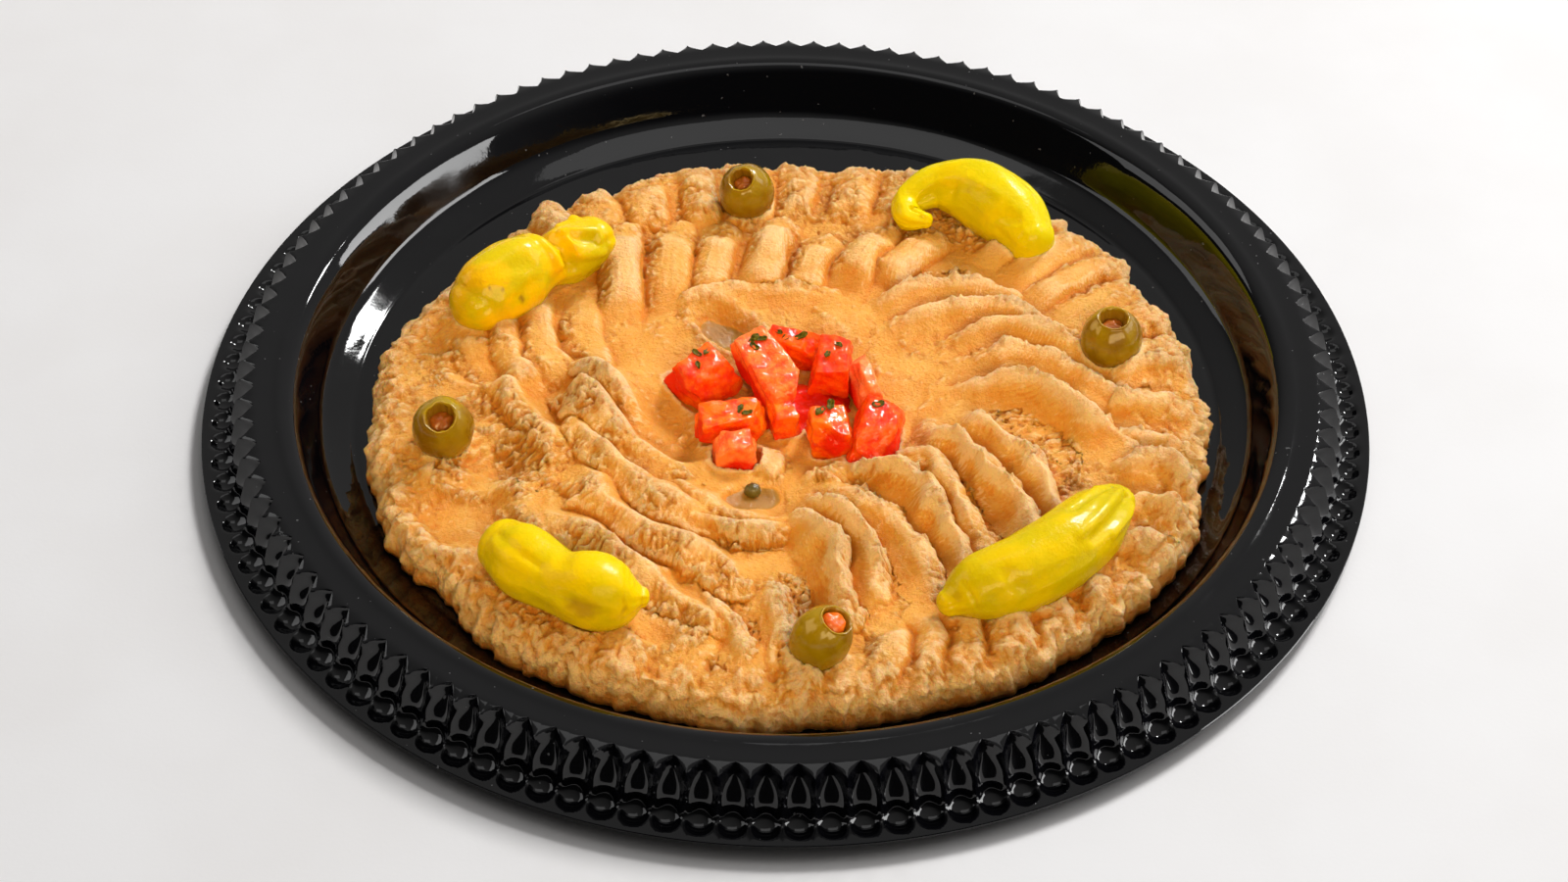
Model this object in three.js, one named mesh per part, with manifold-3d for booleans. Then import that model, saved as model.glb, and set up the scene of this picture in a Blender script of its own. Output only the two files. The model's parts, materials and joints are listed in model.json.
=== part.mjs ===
// A hummus platter: a round black tray with a fluted rim, a swirled disc of hummus, and on it
// four pepperoncini, four pitted olives with their pimento, and a pile of diced tomato with herbs.
// Millimetres, +Z up, origin at the centre of the tray's foot.
import * as THREE from 'three';
import { mergeVertices } from 'three/addons/utils/BufferGeometryUtils.js';
import Module from 'manifold-3d';

// Tray
const trayRadius = 152.5; // a 12 inch catering tray
const sheet = 1.2; // wall of the formed sheet
const floorRadius = 112; // flat part of the floor
const ledgeHeight = 16.9; // top of the rim above the table
const fluteCount = 120;
const fluteDepth = 2.1; // deepest inset of a flute's scoop

// Hummus
const hummusCentre = new THREE.Vector2(0, -10.4);
const hummusRadius = 106.5;
const hummusLevel = 12.2; // height of the spread between its ridges, above the table
const ringStep = 7.2; // facets are long from the middle outwards, as the strokes mostly run that way
const columns = 136; // points in a ring of the hummus near its edge, halved towards its middle
const gap = 0.35; // clearance between touching pieces

const degrees = Math.PI / 180;
const group = new THREE.Group();
const wasm = await Module();
wasm.setup();

// ---------------------------------------------------------------- closed surfaces from rings

// Joins two rings of points, each going round the same way, by triangles. A ring may be a single
// point, and the two may have different numbers of points.
function joinRings(triangles, startA, countA, startB, countB) {
  let a = 0;
  let b = 0;
  while (a < countA || b < countB) {
    const stepB = a >= countA || (b < countB && (b + 1) * countA <= (a + 1) * countB);
    const pointA = startA + (a % countA);
    const pointB = startB + (b % countB);
    const next = stepB ? startB + ((b + 1) % countB) : startA + ((a + 1) % countA);
    const own = stepB ? pointB : pointA;
    if (next !== own) triangles.push(pointA, pointB, next);
    if (stepB) b += 1;
    else a += 1;
  }
}

// A closed surface through rings that start and end in a single point each.
function loft(rings) {
  const positions = [];
  const triangles = [];
  const starts = rings.map((ring) => {
    const start = positions.length / 3;
    ring.forEach((p) => positions.push(p.x, p.y, p.z));
    return start;
  });
  for (let k = 0; k + 1 < rings.length; k += 1) {
    joinRings(triangles, starts[k], rings[k].length, starts[k + 1], rings[k + 1].length);
  }
  const geometry = new THREE.BufferGeometry();
  geometry.setAttribute('position', new THREE.Float32BufferAttribute(positions, 3));
  geometry.setIndex(triangles);
  return geometry;
}

// A ring of points at equal turns: at(turn, index) gives each one.
function ringOf(count, at) {
  return Array.from({ length: count }, (_, k) => at((2 * Math.PI * k) / count, k));
}

function toSolid(geometry) {
  return new wasm.Manifold(new wasm.Mesh({
    numProp: 3,
    vertProperties: new Float32Array(geometry.attributes.position.array),
    triVerts: new Uint32Array(geometry.index.array),
  }));
}

// The largest piece of a solid, as a geometry: a cut may leave loose scraps.
function toGeometry(solid) {
  const pieces = solid.decompose().sort((p, q) => q.volume() - p.volume());
  const mesh = pieces[0].getMesh();
  const geometry = new THREE.BufferGeometry();
  geometry.setAttribute('position', new THREE.BufferAttribute(mesh.vertProperties, 3));
  geometry.setIndex(new THREE.BufferAttribute(mesh.triVerts, 1));
  return geometry;
}

function addPiece(name, geometry, material) {
  geometry.computeVertexNormals();
  const mesh = new THREE.Mesh(geometry, material);
  mesh.name = name;
  group.add(mesh);
}

function smoothstep(low, high, value) {
  const t = Math.min(1, Math.max(0, (value - low) / (high - low)));
  return t * t * (3 - 2 * t);
}

// ---------------------------------------------------------------- tray

// Upper side of the tray from the floor to the top of the rim: radius and height pairs.
const wallProfile = [
  [floorRadius, sheet], [119, 3.0], [122, 5.4], [124.6, 9.2], [127.4, 14.2], [131.2, ledgeHeight],
  [137.2, ledgeHeight],
];
// Outside of the rim along the ridges between the flutes, and how far a flute's scoop has opened.
const rimProfile = [
  { at: [141.6, 15], open: 0.6 },
  { at: [144.3, 8.5], open: 1 },
];
const undersideProfile = [
  [trayRadius, 3.6], [142.4, 4.2], [140.2, 11.6], [137.2, 15.6], [131.2, 15.6], [127.4, 11.8],
  [120.5, 2.4], [floorRadius - 0.5, 0],
];
const flangeTop = 4.5;

// Height of the tray's upper side at a radius, between the floor and the top of the rim.
function trayTopAt(radius) {
  if (radius <= floorRadius) return sheet;
  const k = wallProfile.findIndex(([r]) => r > radius);
  const [r0, z0] = wallProfile[k - 1];
  const [r1, z1] = wallProfile[k];
  return z0 + ((z1 - z0) * (radius - r0)) / (r1 - r0);
}

function plainRing(count, radius, z) {
  return ringOf(count, (turn) => new THREE.Vector3(
    radius * Math.cos(turn), radius * Math.sin(turn), z));
}

// A ring has one point to a flute, and half as many near the floor.
function trayRing([radius, z]) {
  return plainRing(radius < 1.08 * floorRadius ? fluteCount / 2 : fluteCount, radius, z);
}

// Two columns to a flute: the ridge, and the bottom of the scoop, which lies deeper.
function flutedRing({ at: [radius, z], open }) {
  return ringOf(2 * fluteCount, (turn, k) => {
    const inset = k % 2 ? fluteDepth * open : 0;
    return new THREE.Vector3(
      (radius - inset) * Math.cos(turn), (radius - inset) * Math.sin(turn), z - 0.35 * inset);
  });
}

function makeTray() {
  return loft([
    [new THREE.Vector3(0, 0, sheet)],
    ...wallProfile.map(trayRing),
    ...rimProfile.map(flutedRing),
    trayRing([146.4, 5.1]), // foot of the flutes
    trayRing([trayRadius, flangeTop]),
    ...undersideProfile.map(trayRing),
    [new THREE.Vector3(0, 0, 0)],
  ]);
}

// ---------------------------------------------------------------- hummus

// Fans of spoon strokes. Each stroke is a quadratic curve along its crest, from its inner to its
// outer end, and the strokes of a fan go evenly from the first, past the middle, to the last. A
// rib is round on both sides. A step falls steeply on one side (1 is left of its way, -1 right)
// and slopes down gently on the other.
const fans = [
  { kind: 'rib', count: 7, height: 3.8, width: 6.3, // smooth ribs at the back
    first: [[-45.5, 20], [-46, 40], [-45.5, 57]], last: [[26.5, 36], [31, 46], [39, 55]] },
  { kind: 'rib', count: 8, height: 2.8, width: 6.2, // back edge
    first: [[-62, 54], [-65, 62], [-70, 73]], last: [[28, 64], [31, 76], [34, 90]] },
  { kind: 'rib', count: 6, height: 2.8, width: 7, // right back edge
    first: [[52, 44], [66, 58], [79, 72]], last: [[80, 3], [92, 9], [108, 14]] },
  { kind: 'step', side: 1, count: 2, height: 3.2, width: 11, // behind the spiral
    first: [[24, 24], [40, 32], [62, 26]], last: [[30, 12], [56, 20], [70, 6]] },
  { kind: 'step', side: 1, count: 8, height: 4.6, width: 12.5, // spiral, right and front
    first: [[-1, -58], [13, -59], [15, -86]], middle: [[31, -35], [48, -37], [54, -57]],
    last: [[43, 4.5], [64, 10], [82, -12]] },
  { kind: 'step', side: 1, count: 6, height: 3.2, width: 11, // right edge
    first: [[82, -60], [90, -64], [96, -70]], last: [[84, -2], [96, 2], [108, 3]] },
  { kind: 'rib', count: 7, height: 2.8, width: 5.4, // front right edge
    first: [[85, -68], [87, -77], [87, -88]], last: [[21, -90], [23, -101], [21, -113]] },
  { kind: 'step', side: -1, count: 5, height: 4, width: 12, // diagonal, left front
    first: [[-57, -4], [-48, -18], [-30, -32]], middle: [[-56, -24], [-45, -48], [-10, -66]],
    last: [[-58, -50], [-44, -62], [-12, -90]] },
  { kind: 'rib', count: 4, height: 2.4, width: 6, // left
    first: [[-55, 32], [-55, 12], [-50, -3]], last: [[-92, 30], [-85, 12], [-76, -4]] },
  { kind: 'rib', count: 6, height: 1.8, width: 6, // front edge
    first: [[-46, -92], [-50, -99], [-55, -106]], last: [[14, -98], [16, -105], [17, -115]] },
];
const steepWidth = 2.5; // how wide the steep side of a step is
// Smooth hollows pressed by the spoon: centre, half lengths, turn and depth.
const hollows = [
  { at: [0, -10], half: [42, 34], turn: 0, depth: 3.2 }, // under the tomatoes
  { at: [-33, -24], half: [13, 21], turn: 10, depth: 1.8 },
  { at: [-16, 19], half: [11, 7], turn: -35, depth: 2.4 },
  { at: [14, 21], half: [9, 12], turn: 0, depth: -1.6 },
  { at: [-75, -32], half: [9, 11], turn: 0, depth: 2.4 },
  { at: [-82, -50], half: [18, 13], turn: -20, depth: 2.2 },
  { at: [-29, -88], half: [8, 12], turn: -15, depth: 2.6 },
  { at: [-6, -46], half: [12, 9], turn: 0, depth: 1.6 },
];
const strokeSteps = 10;

// A point between three others that it passes at shares 0, 0.5 and 1.
function blend(first, middle, last, share) {
  return new THREE.Vector2()
    .addScaledVector(first, (1 - share) * (1 - 2 * share))
    .addScaledVector(middle, 4 * share * (1 - share))
    .addScaledVector(last, share * (2 * share - 1));
}

const strokes = fans.flatMap((fan) => {
  const [first, last] = [fan.first, fan.last].map((row) => row.map((p) => new THREE.Vector2(...p)));
  const middle = fan.middle
    ? fan.middle.map((p) => new THREE.Vector2(...p))
    : first.map((p, i) => p.clone().lerp(last[i], 0.5));
  return Array.from({ length: fan.count }, (_, k) => {
    const controls = first.map((p, i) => blend(p, middle[i], last[i], k / (fan.count - 1)));
    const points = new THREE.QuadraticBezierCurve(...controls).getPoints(strokeSteps);
    return { ...fan, points };
  });
});

// Nearest point of a stroke: its distance, how far along the stroke it lies, from 0 to 1, and the
// side that the place is on, 1 to the left of the stroke's way and -1 to the right.
function nearestOn(points, x, y) {
  const best = { distance: Infinity, along: 0, side: 1 };
  for (let k = 0; k + 1 < points.length; k += 1) {
    const p = points[k];
    const dx = points[k + 1].x - p.x;
    const dy = points[k + 1].y - p.y;
    const t = ((x - p.x) * dx + (y - p.y) * dy) / (dx * dx + dy * dy);
    const share = Math.min(1, Math.max(0, t));
    const offX = x - p.x - share * dx;
    const offY = y - p.y - share * dy;
    const distance = Math.hypot(offX, offY);
    if (distance < best.distance) {
      best.distance = distance;
      best.along = (k + share) / (points.length - 1);
      best.side = Math.sign(dx * offY - dy * offX);
    }
  }
  return best;
}

function ridgeAt(x, y) {
  return strokes.reduce((top, { kind, side: steepSide, height, width, points }) => {
    const { distance, along, side } = nearestOn(points, x, y);
    const steep = kind === 'step' && side === steepSide;
    const q = Math.min(1, distance / (steep ? steepWidth : width));
    const profile = kind === 'rib' ? 1 - q * q : 1 - q;
    const ends = smoothstep(-0.02, 0.2, along) * (1 - 0.8 * smoothstep(0.75, 1, along));
    return Math.max(top, height * profile * ends);
  }, 0);
}

function hollowAt(x, y) {
  return hollows.reduce((sum, { at, half, turn, depth }) => {
    const cos = Math.cos(turn * degrees);
    const sin = Math.sin(turn * degrees);
    const u = ((x - at[0]) * cos + (y - at[1]) * sin) / half[0];
    const v = (-(x - at[0]) * sin + (y - at[1]) * cos) / half[1];
    return sum + depth * (1 - smoothstep(0.25, 1.1, Math.hypot(u, v)));
  }, 0);
}

function hummusTopAt(x, y) {
  return hummusLevel + ridgeAt(x, y) - hollowAt(x, y);
}

// Radius of the hummus's outline about its centre: a spread-out disc, wavy and lumpy at its edge.
function outlineAt(turn) {
  return hummusRadius
    + 2.1 * Math.cos(turn + 60 * degrees)
    + 2.3 * Math.cos(2 * turn)
    + 0.9 * Math.cos(5 * turn + 170 * degrees)
    + 1.0 * Math.sin(11 * turn + 0.7)
    + 0.8 * Math.sin(19 * turn + 2.1);
}

// A ring of the hummus at a share of its outline, with its height from a function of place.
function hummusRing(share, count, heightAt) {
  return ringOf(count, (turn) => {
    const radius = share * outlineAt(turn);
    const x = hummusCentre.x + radius * Math.cos(turn);
    const y = hummusCentre.y + radius * Math.sin(turn);
    return new THREE.Vector3(x, y, heightAt(x, y));
  });
}

function makeHummus() {
  const footAt = (x, y) => trayTopAt(Math.hypot(x, y)) + gap;
  const sideAt = (share) => (x, y) => footAt(x, y) + share * (hummusTopAt(x, y) - footAt(x, y));
  const topShare = 0.93; // where the top turns down into the side
  const ringCount = Math.round((topShare * hummusRadius) / ringStep);
  const topRings = Array.from({ length: ringCount }, (_, k) => {
    const share = (topShare * (k + 1)) / ringCount;
    const halvings = [0.5, 0.25, 0.12].filter((limit) => share < limit).length;
    return hummusRing(share, Math.floor(columns / 2 ** halvings), hummusTopAt);
  });
  const { x, y } = hummusCentre;
  return loft([
    [new THREE.Vector3(x, y, hummusTopAt(x, y))],
    ...topRings,
    hummusRing(0.97, columns, sideAt(0.85)),
    hummusRing(0.995, columns / 2, sideAt(0.4)),
    hummusRing(0.98, columns / 2, footAt),
    [new THREE.Vector3(x, y, sheet + gap)],
  ]);
}

// ---------------------------------------------------------------- pepperoncini

const podSides = 12;
const podRings = 12;
// Each pod: points along its middle, its radius at each of them, and how deep its creases are.
const pods = [
  { spine: [[-84, 17.5, 18], [-80, 22.5, 19.5], [-71, 31, 20.5],
      [-64.5, 36, 20], [-59, 40.5, 19], [-52.5, 46, 18.5]],
    radii: [5.6, 8.8, 9.8, 8.2, 7.6, 6.6], crease: 0.05 },
  { spine: [[66.5, 49, 17.5], [61.5, 58, 19], [51.5, 67.5, 19.5], [41, 70, 19],
      [33.6, 65.5, 17.6], [33, 59.5, 17], [38, 57.2, 17.4]],
    radii: [6.4, 9.2, 9.3, 6.2, 4.4, 3.6, 2.2], crease: 0.04 },
  { spine: [[-68.5, -70, 18], [-62.5, -76.5, 19], [-54.5, -82.5, 19.5],
      [-45.5, -87, 20.5], [-38.5, -88, 19.6], [-34.2, -88, 19.4]],
    radii: [5.4, 8.0, 7.9, 10.2, 6.6, 1.9], crease: 0.05 },
  { spine: [[39.5, -87, 17], [46.5, -83.5, 18.5], [58, -78.5, 19.5],
      [70, -68.5, 19.5], [78, -58.5, 18.5], [82.5, -52, 17.5]],
    radii: [3.4, 7.9, 9.4, 9.6, 8.0, 4.8], crease: 0.05 },
];

// Values between a list's entries, along a smooth curve through them.
function smoothList(values) {
  const curve = new THREE.CatmullRomCurve3(values.map((v, k) => new THREE.Vector3(k, v, 0)));
  return (share) => curve.getPoint(share).y;
}

// A pod: rings round its middle curve, closed by round ends. It grows by a margin on all sides.
function makePod({ spine, radii, crease }, margin) {
  const middle = new THREE.CatmullRomCurve3(spine.map((p) => new THREE.Vector3(...p)));
  const radiusAt = smoothList(radii);
  const up = new THREE.Vector3(0, 0, 1);
  const rings = [];
  const pole = (share, reach) => [middle.getPoint(share).addScaledVector(middle.getTangent(share), reach)];
  const ringAt = (share, radius, reach) => {
    const tangent = middle.getTangent(share);
    const side = new THREE.Vector3().crossVectors(tangent, up).normalize();
    const top = new THREE.Vector3().crossVectors(side, tangent);
    const centre = middle.getPoint(share).addScaledVector(tangent, reach);
    return ringOf(podSides, (turn) => {
      const r = (radius + margin) * (1 + crease * Math.cos(3 * turn + 4 * share));
      return centre.clone()
        .addScaledVector(side, r * Math.cos(turn))
        .addScaledVector(top, r * Math.sin(turn));
    });
  };
  const capReach = 0.8;
  rings.push(pole(0, -capReach * radiusAt(0) - margin));
  rings.push(ringAt(0, 0.72 * radiusAt(0), -0.55 * capReach * radiusAt(0)));
  for (let k = 0; k < podRings; k += 1) {
    const share = k / (podRings - 1);
    rings.push(ringAt(share, radiusAt(share), 0));
  }
  rings.push(ringAt(1, 0.72 * radiusAt(1), 0.55 * capReach * radiusAt(1)));
  rings.push(pole(1, capReach * radiusAt(1) + margin));
  return loft(rings);
}

// ---------------------------------------------------------------- olives

const oliveColumns = 12;
// Each olive stands in the hummus: its middle, radius, half length, hole radius and its lean from
// upright, to the right (+X) and to the front (-Y), in degrees.
const olives = [
  { at: [-11.2, 68.4, 17.6], radius: 7.7, half: 9.2, hole: 3.0, lean: [-10, 24] },
  { at: [85.3, 8.9, 17.6], radius: 8.1, half: 8.8, hole: 3.5, lean: [0, 4] },
  { at: [-87.1, -27.4, 17.6], radius: 7.9, half: 8.8, hole: 3.4, lean: [0, 26] },
  { at: [8.7, -99.3, 17.2], radius: 7.3, half: 9.6, hole: 3.2, lean: [26, 6] },
];
const holeLip = 0.75; // round edge of the hole
const holeDepth = 6.8;
const pimentoDepth = 2.6; // top of the pimento below the rim of the hole
const pimentoLength = 2.8;

// Stands a shape made about the Z axis in its olive's place.
function placeInOlive(geometry, { at, lean }) {
  const turned = new THREE.Matrix4().makeRotationFromEuler(
    new THREE.Euler(lean[1] * degrees, lean[0] * degrees, 0));
  return geometry.applyMatrix4(turned.setPosition(...at));
}

// Height on an olive's axis where its skin is at a radius, near the end with the hole.
function oliveRimHeight({ radius, half, hole }) {
  return half * Math.sqrt(1 - (hole / radius) ** 2);
}

function makeOlive(olive, margin) {
  const { radius, half, hole } = olive;
  const rim = oliveRimHeight(olive);
  const outer = [-76, -48, -20, 8, 34].map((angle) => plainRing(
    oliveColumns,
    (radius + margin) * Math.cos(angle * degrees),
    (half + margin) * Math.sin(angle * degrees)));
  const mouth = margin > 0
    ? [plainRing(oliveColumns, hole + margin, rim + margin), [new THREE.Vector3(0, 0, rim + margin)]]
    : [
      plainRing(oliveColumns, hole + holeLip, rim - 0.1),
      plainRing(oliveColumns, hole, rim - holeLip),
      plainRing(oliveColumns, hole, rim - holeDepth + holeLip),
      [new THREE.Vector3(0, 0, rim - holeDepth)],
    ];
  // From the lower end outwards the rings go the other way round, so the faces look out.
  const rings = [[new THREE.Vector3(0, 0, -half - margin)], ...outer, ...mouth];
  return placeInOlive(loft(rings.map((ring) => [...ring].reverse())), olive);
}

// The pimento: a short plug in the hole, with a domed top.
function makePimento(olive) {
  const radius = olive.hole - gap;
  const top = oliveRimHeight(olive) - pimentoDepth;
  return placeInOlive(loft([
    [new THREE.Vector3(0, 0, top)],
    plainRing(8, 0.75 * radius, top - 0.15 * pimentoLength),
    plainRing(8, radius, top - 0.45 * pimentoLength),
    plainRing(8, radius, top - 0.95 * pimentoLength),
    [new THREE.Vector3(0, 0, top - pimentoLength)],
  ]), olive);
}

// ---------------------------------------------------------------- tomato dice

// Each die: its middle, its size, its turn about Z and its tip forward and sideways, in degrees,
// and how much narrower its top is than its base.
const dice = [
  { at: [-4.5, -3, 16.4], size: [24, 12, 8.4], turn: -54, tip: [8, 12], taper: 0.12 },
  { at: [11.2, -23.5, 15.2], size: [10.4, 13.4, 10.5], turn: 10, tip: [10, -4], taper: 0.15 },
  { at: [23.4, -24.5, 14.6], size: [11, 20.5, 10.4], turn: -10, tip: [6, 8], taper: 0.2 },
  { at: [-21.8, -2, 14.2], size: [14.5, 13.5, 10.2], turn: 36, tip: [6, -6], taper: 0.25 },
  { at: [12, 0, 15.4], size: [9.5, 16, 10], turn: -6, tip: [-4, 6], taper: 0.12 },
  { at: [1.5, 9, 14.4], size: [17, 8, 9], turn: -10, tip: [14, 0], taper: 0.3 },
  { at: [20.4, -4.5, 14], size: [5.6, 17.5, 9.5], turn: 16, tip: [0, 12], taper: 0.2 },
  { at: [-14, -19.5, 13.6], size: [17, 10, 8.6], turn: 8, tip: [12, -3], taper: 0.12 },
  { at: [-12.3, -30, 12.8], size: [11.6, 8.4, 9.6], turn: 4, tip: [4, 0], taper: 0.12 },
  { at: [-0.5, -15.5, 12], size: [7.5, 10, 7.5], turn: 15, tip: [0, 0], taper: 0.1 },
];
const dieColumns = 12;
const dieTop = 0.82; // flat part of a die's top, and the upright part of its side
const dieSide = 0.78;

// Stands a shape made about the origin in its die's place.
function placeAsDie(geometry, { at, turn, tip }) {
  const turned = new THREE.Matrix4().makeRotationFromEuler(
    new THREE.Euler(tip[0] * degrees, tip[1] * degrees, turn * degrees, 'ZYX'));
  return geometry.applyMatrix4(turned.setPosition(...at));
}

// A die with soft edges. It grows by a margin on all sides.
function makeDie(die, margin) {
  const { size, taper } = die;
  const [a, b, c] = size.map((side) => side / 2 + margin);
  const squareness = 5;
  const ringAt = (height, share) => ringOf(dieColumns, (angle) => {
    // Three of the twelve columns stand close together at each corner.
    const corner = Math.PI / 4 + Math.floor(angle / (Math.PI / 2) + 1e-9) * (Math.PI / 2);
    const bend = corner + (angle - corner + Math.PI / 12) * 0.55;
    const cos = Math.cos(bend);
    const sin = Math.sin(bend);
    const radius = share * (1 - taper * height)
      / (Math.abs(cos) ** squareness + Math.abs(sin) ** squareness) ** (1 / squareness);
    return new THREE.Vector3(a * radius * cos, b * radius * sin, c * height);
  });
  return placeAsDie(loft([
    [new THREE.Vector3(0, 0, c)],
    ringAt(1, dieTop),
    ringAt(dieSide, 1),
    ringAt(-dieSide, 1),
    ringAt(-1, dieTop),
    [new THREE.Vector3(0, 0, -c)],
  ]), die);
}

// ---------------------------------------------------------------- herbs

// Flecks of dried herb that lie on the dice: die, place on its top face as shares of its half
// sides, and turn.
const flecks = [
  { die: 3, on: [-0.3, -0.1], turn: 70 }, { die: 3, on: [0.55, 0.35], turn: 20 },
  { die: 0, on: [-0.6, 0.2], turn: 60 }, { die: 0, on: [-0.45, -0.3], turn: 10 },
  { die: 5, on: [0.45, 0.1], turn: 30 }, { die: 5, on: [-0.55, 0.2], turn: -20 },
  { die: 7, on: [0.45, 0.15], turn: 60 }, { die: 1, on: [-0.5, 0.4], turn: 40 },
  { die: 4, on: [-0.5, -0.35], turn: 80 }, { die: 2, on: [-0.35, 0.7], turn: 30 },
];
const fleckSize = [2.1, 1.1, 0.9];

function makeFleck({ die, on, turn }) {
  const { size, taper } = dice[die];
  const crystal = new THREE.OctahedronGeometry(1, 0);
  crystal.deleteAttribute('normal');
  crystal.deleteAttribute('uv');
  const lump = mergeVertices(crystal);
  lump.scale(...fleckSize.map((side) => side / 2));
  lump.rotateZ(turn * degrees);
  const face = dieTop * (1 - taper);
  lump.translate((on[0] * face * size[0]) / 2, (on[1] * face * size[1]) / 2, size[2] / 2);
  return placeAsDie(lump, dice[die]);
}

// The dried caper that lies on the hummus in front of the tomatoes, half sunk.
const caper = { at: [-8.2, -41.7], radius: 2.1 };

function makeCaper() {
  const { at: [x, y], radius } = caper;
  const z = hummusTopAt(x, y) + 0.5 * radius;
  return loft([
    [new THREE.Vector3(0, 0, radius)],
    plainRing(8, 0.8 * radius, 0.6 * radius),
    plainRing(8, radius, 0),
    plainRing(8, 0.8 * radius, -0.6 * radius),
    [new THREE.Vector3(0, 0, -radius)],
  ]).translate(x, y, z);
}

// ---------------------------------------------------------------- assembly

function finish(color, roughness) {
  return new THREE.MeshStandardMaterial({ color, roughness, metalness: 0 });
}
const blackPlastic = finish(0x0b0b0d, 0.12);
const chickpea = finish(0xe0a463, 0.6);
const pepperSkin = finish(0xd9c400, 0.3);
const oliveSkin = finish(0x8c7a0a, 0.25);
const pimentoFlesh = finish(0xa8430f, 0.4);
const tomatoFlesh = finish(0xe0380c, 0.2);

addPiece('tray', makeTray(), blackPlastic);

pods.forEach((pod, k) => addPiece(`pepperoncini_${k + 1}`, makePod(pod, 0), pepperSkin));
olives.forEach((olive, k) => {
  addPiece(`olive_${k + 1}`, makeOlive(olive, 0), oliveSkin);
  addPiece(`pimento_${k + 1}`, makePimento(olive), pimentoFlesh);
});

// The dice lie against each other: each is cut clear of the ones listed before it.
const grownDice = dice.map((die) => toSolid(makeDie(die, gap)));
dice.forEach((die, k) => {
  const own = flecks.filter((fleck) => fleck.die === k).map((fleck) => toSolid(makeFleck(fleck)));
  const whole = own.reduce((solid, fleck) => solid.add(fleck), toSolid(makeDie(die, 0)));
  const cut = grownDice.slice(0, k).reduce((solid, other) => solid.subtract(other), whole);
  addPiece(`tomato_${k + 1}`, toGeometry(cut), tomatoFlesh);
});

// The toppings are pressed into the hummus, which is cut round them.
const pressed = [
  ...pods.map((pod) => toSolid(makePod(pod, gap))),
  ...olives.map((olive) => toSolid(makeOlive(olive, gap))),
  ...grownDice,
];
const spread = pressed.reduce((solid, topping) => solid.subtract(topping), toSolid(makeHummus()));
addPiece('hummus', toGeometry(spread.add(toSolid(makeCaper()))), chickpea);

export default group;
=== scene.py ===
"""A hummus platter: a fluted black tray, a swirled disc of hummus, and its garnishes.

Lengths of the platter are in millimetres until a mesh is made. +Z is up, +X is right, +Y is back,
and the middle of the tray's foot is the origin. Lights, table and camera are in metres.
"""
import json
import math

import bmesh
import bpy
import numpy as np
from mathutils import Matrix, Vector
from mathutils.bvhtree import BVHTree

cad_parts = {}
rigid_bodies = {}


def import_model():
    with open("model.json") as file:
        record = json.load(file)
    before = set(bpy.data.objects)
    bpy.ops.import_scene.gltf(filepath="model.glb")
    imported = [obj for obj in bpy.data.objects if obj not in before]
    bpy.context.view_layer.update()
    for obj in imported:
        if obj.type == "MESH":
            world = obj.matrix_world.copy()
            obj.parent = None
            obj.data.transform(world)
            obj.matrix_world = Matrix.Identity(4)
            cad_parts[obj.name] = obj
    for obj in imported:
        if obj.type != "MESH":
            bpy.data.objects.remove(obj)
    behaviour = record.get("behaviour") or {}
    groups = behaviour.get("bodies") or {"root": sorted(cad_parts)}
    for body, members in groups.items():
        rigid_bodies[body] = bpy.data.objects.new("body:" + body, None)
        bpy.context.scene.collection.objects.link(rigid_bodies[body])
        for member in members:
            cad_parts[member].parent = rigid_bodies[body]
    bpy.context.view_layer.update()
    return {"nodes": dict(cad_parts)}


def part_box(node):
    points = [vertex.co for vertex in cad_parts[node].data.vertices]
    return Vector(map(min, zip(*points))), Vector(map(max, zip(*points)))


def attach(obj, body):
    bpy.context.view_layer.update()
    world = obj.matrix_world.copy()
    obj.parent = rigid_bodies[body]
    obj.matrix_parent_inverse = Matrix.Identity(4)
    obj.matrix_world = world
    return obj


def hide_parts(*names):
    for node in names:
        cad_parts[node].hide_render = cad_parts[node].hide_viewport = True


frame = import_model()
mm = 0.001

# ------------------------------------------------------------------------------------------ tray
# A round catering tray, vacuum formed from one sheet of glossy black plastic. The sheet goes up
# from the floor to a flat ledge and down again on the outside in 120 scooped flutes. It ends in a
# flange round the foot, where each flute has run out into a shallow oval dimple.

tray_radius, _, ledge_height = (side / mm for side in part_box("tray")[1])
sheet = 1.2
steep_wall = 0.9  # how much the inner wall's other side lies further out
ledge_end = 16.65  # height of the ledge where the flutes' arches start
flute_count = 120
flange_top, flange_thick = 4.5, 0.9
fold = 0.4  # how far the edges between ledge, flutes and flange are cut back
rounded_rim = 0.15  # the same at the outside of the flange
floor_columns, wall_columns, rim_columns = 240, 480, 720  # points round the tray
upper_flute, under_flute = 14, 6  # points across a flute, on each side of the sheet

# Upper side of the sheet as radius and height: floor, crease, gentle slope, steep wall and ledge.
inside_line = [
    (0, sheet), (30, sheet), (60, sheet), (90, sheet), (106, sheet), (111.4, sheet), (112.8, sheet),
    (113.3, 0.9), (114.0, 1.4), (118, 3.0), (120.8, 4.2), (121.9, 5.2), (123.0, 7.2), (125.2, 11.2),
    (127.2, 14.8), (128.6, 16.2), (130.2, 16.75), (131.2, ledge_height), (132.2, 16.75),
    (133.2, 16.6), (135.5, 16.6), (137.4, ledge_end),
]
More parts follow.
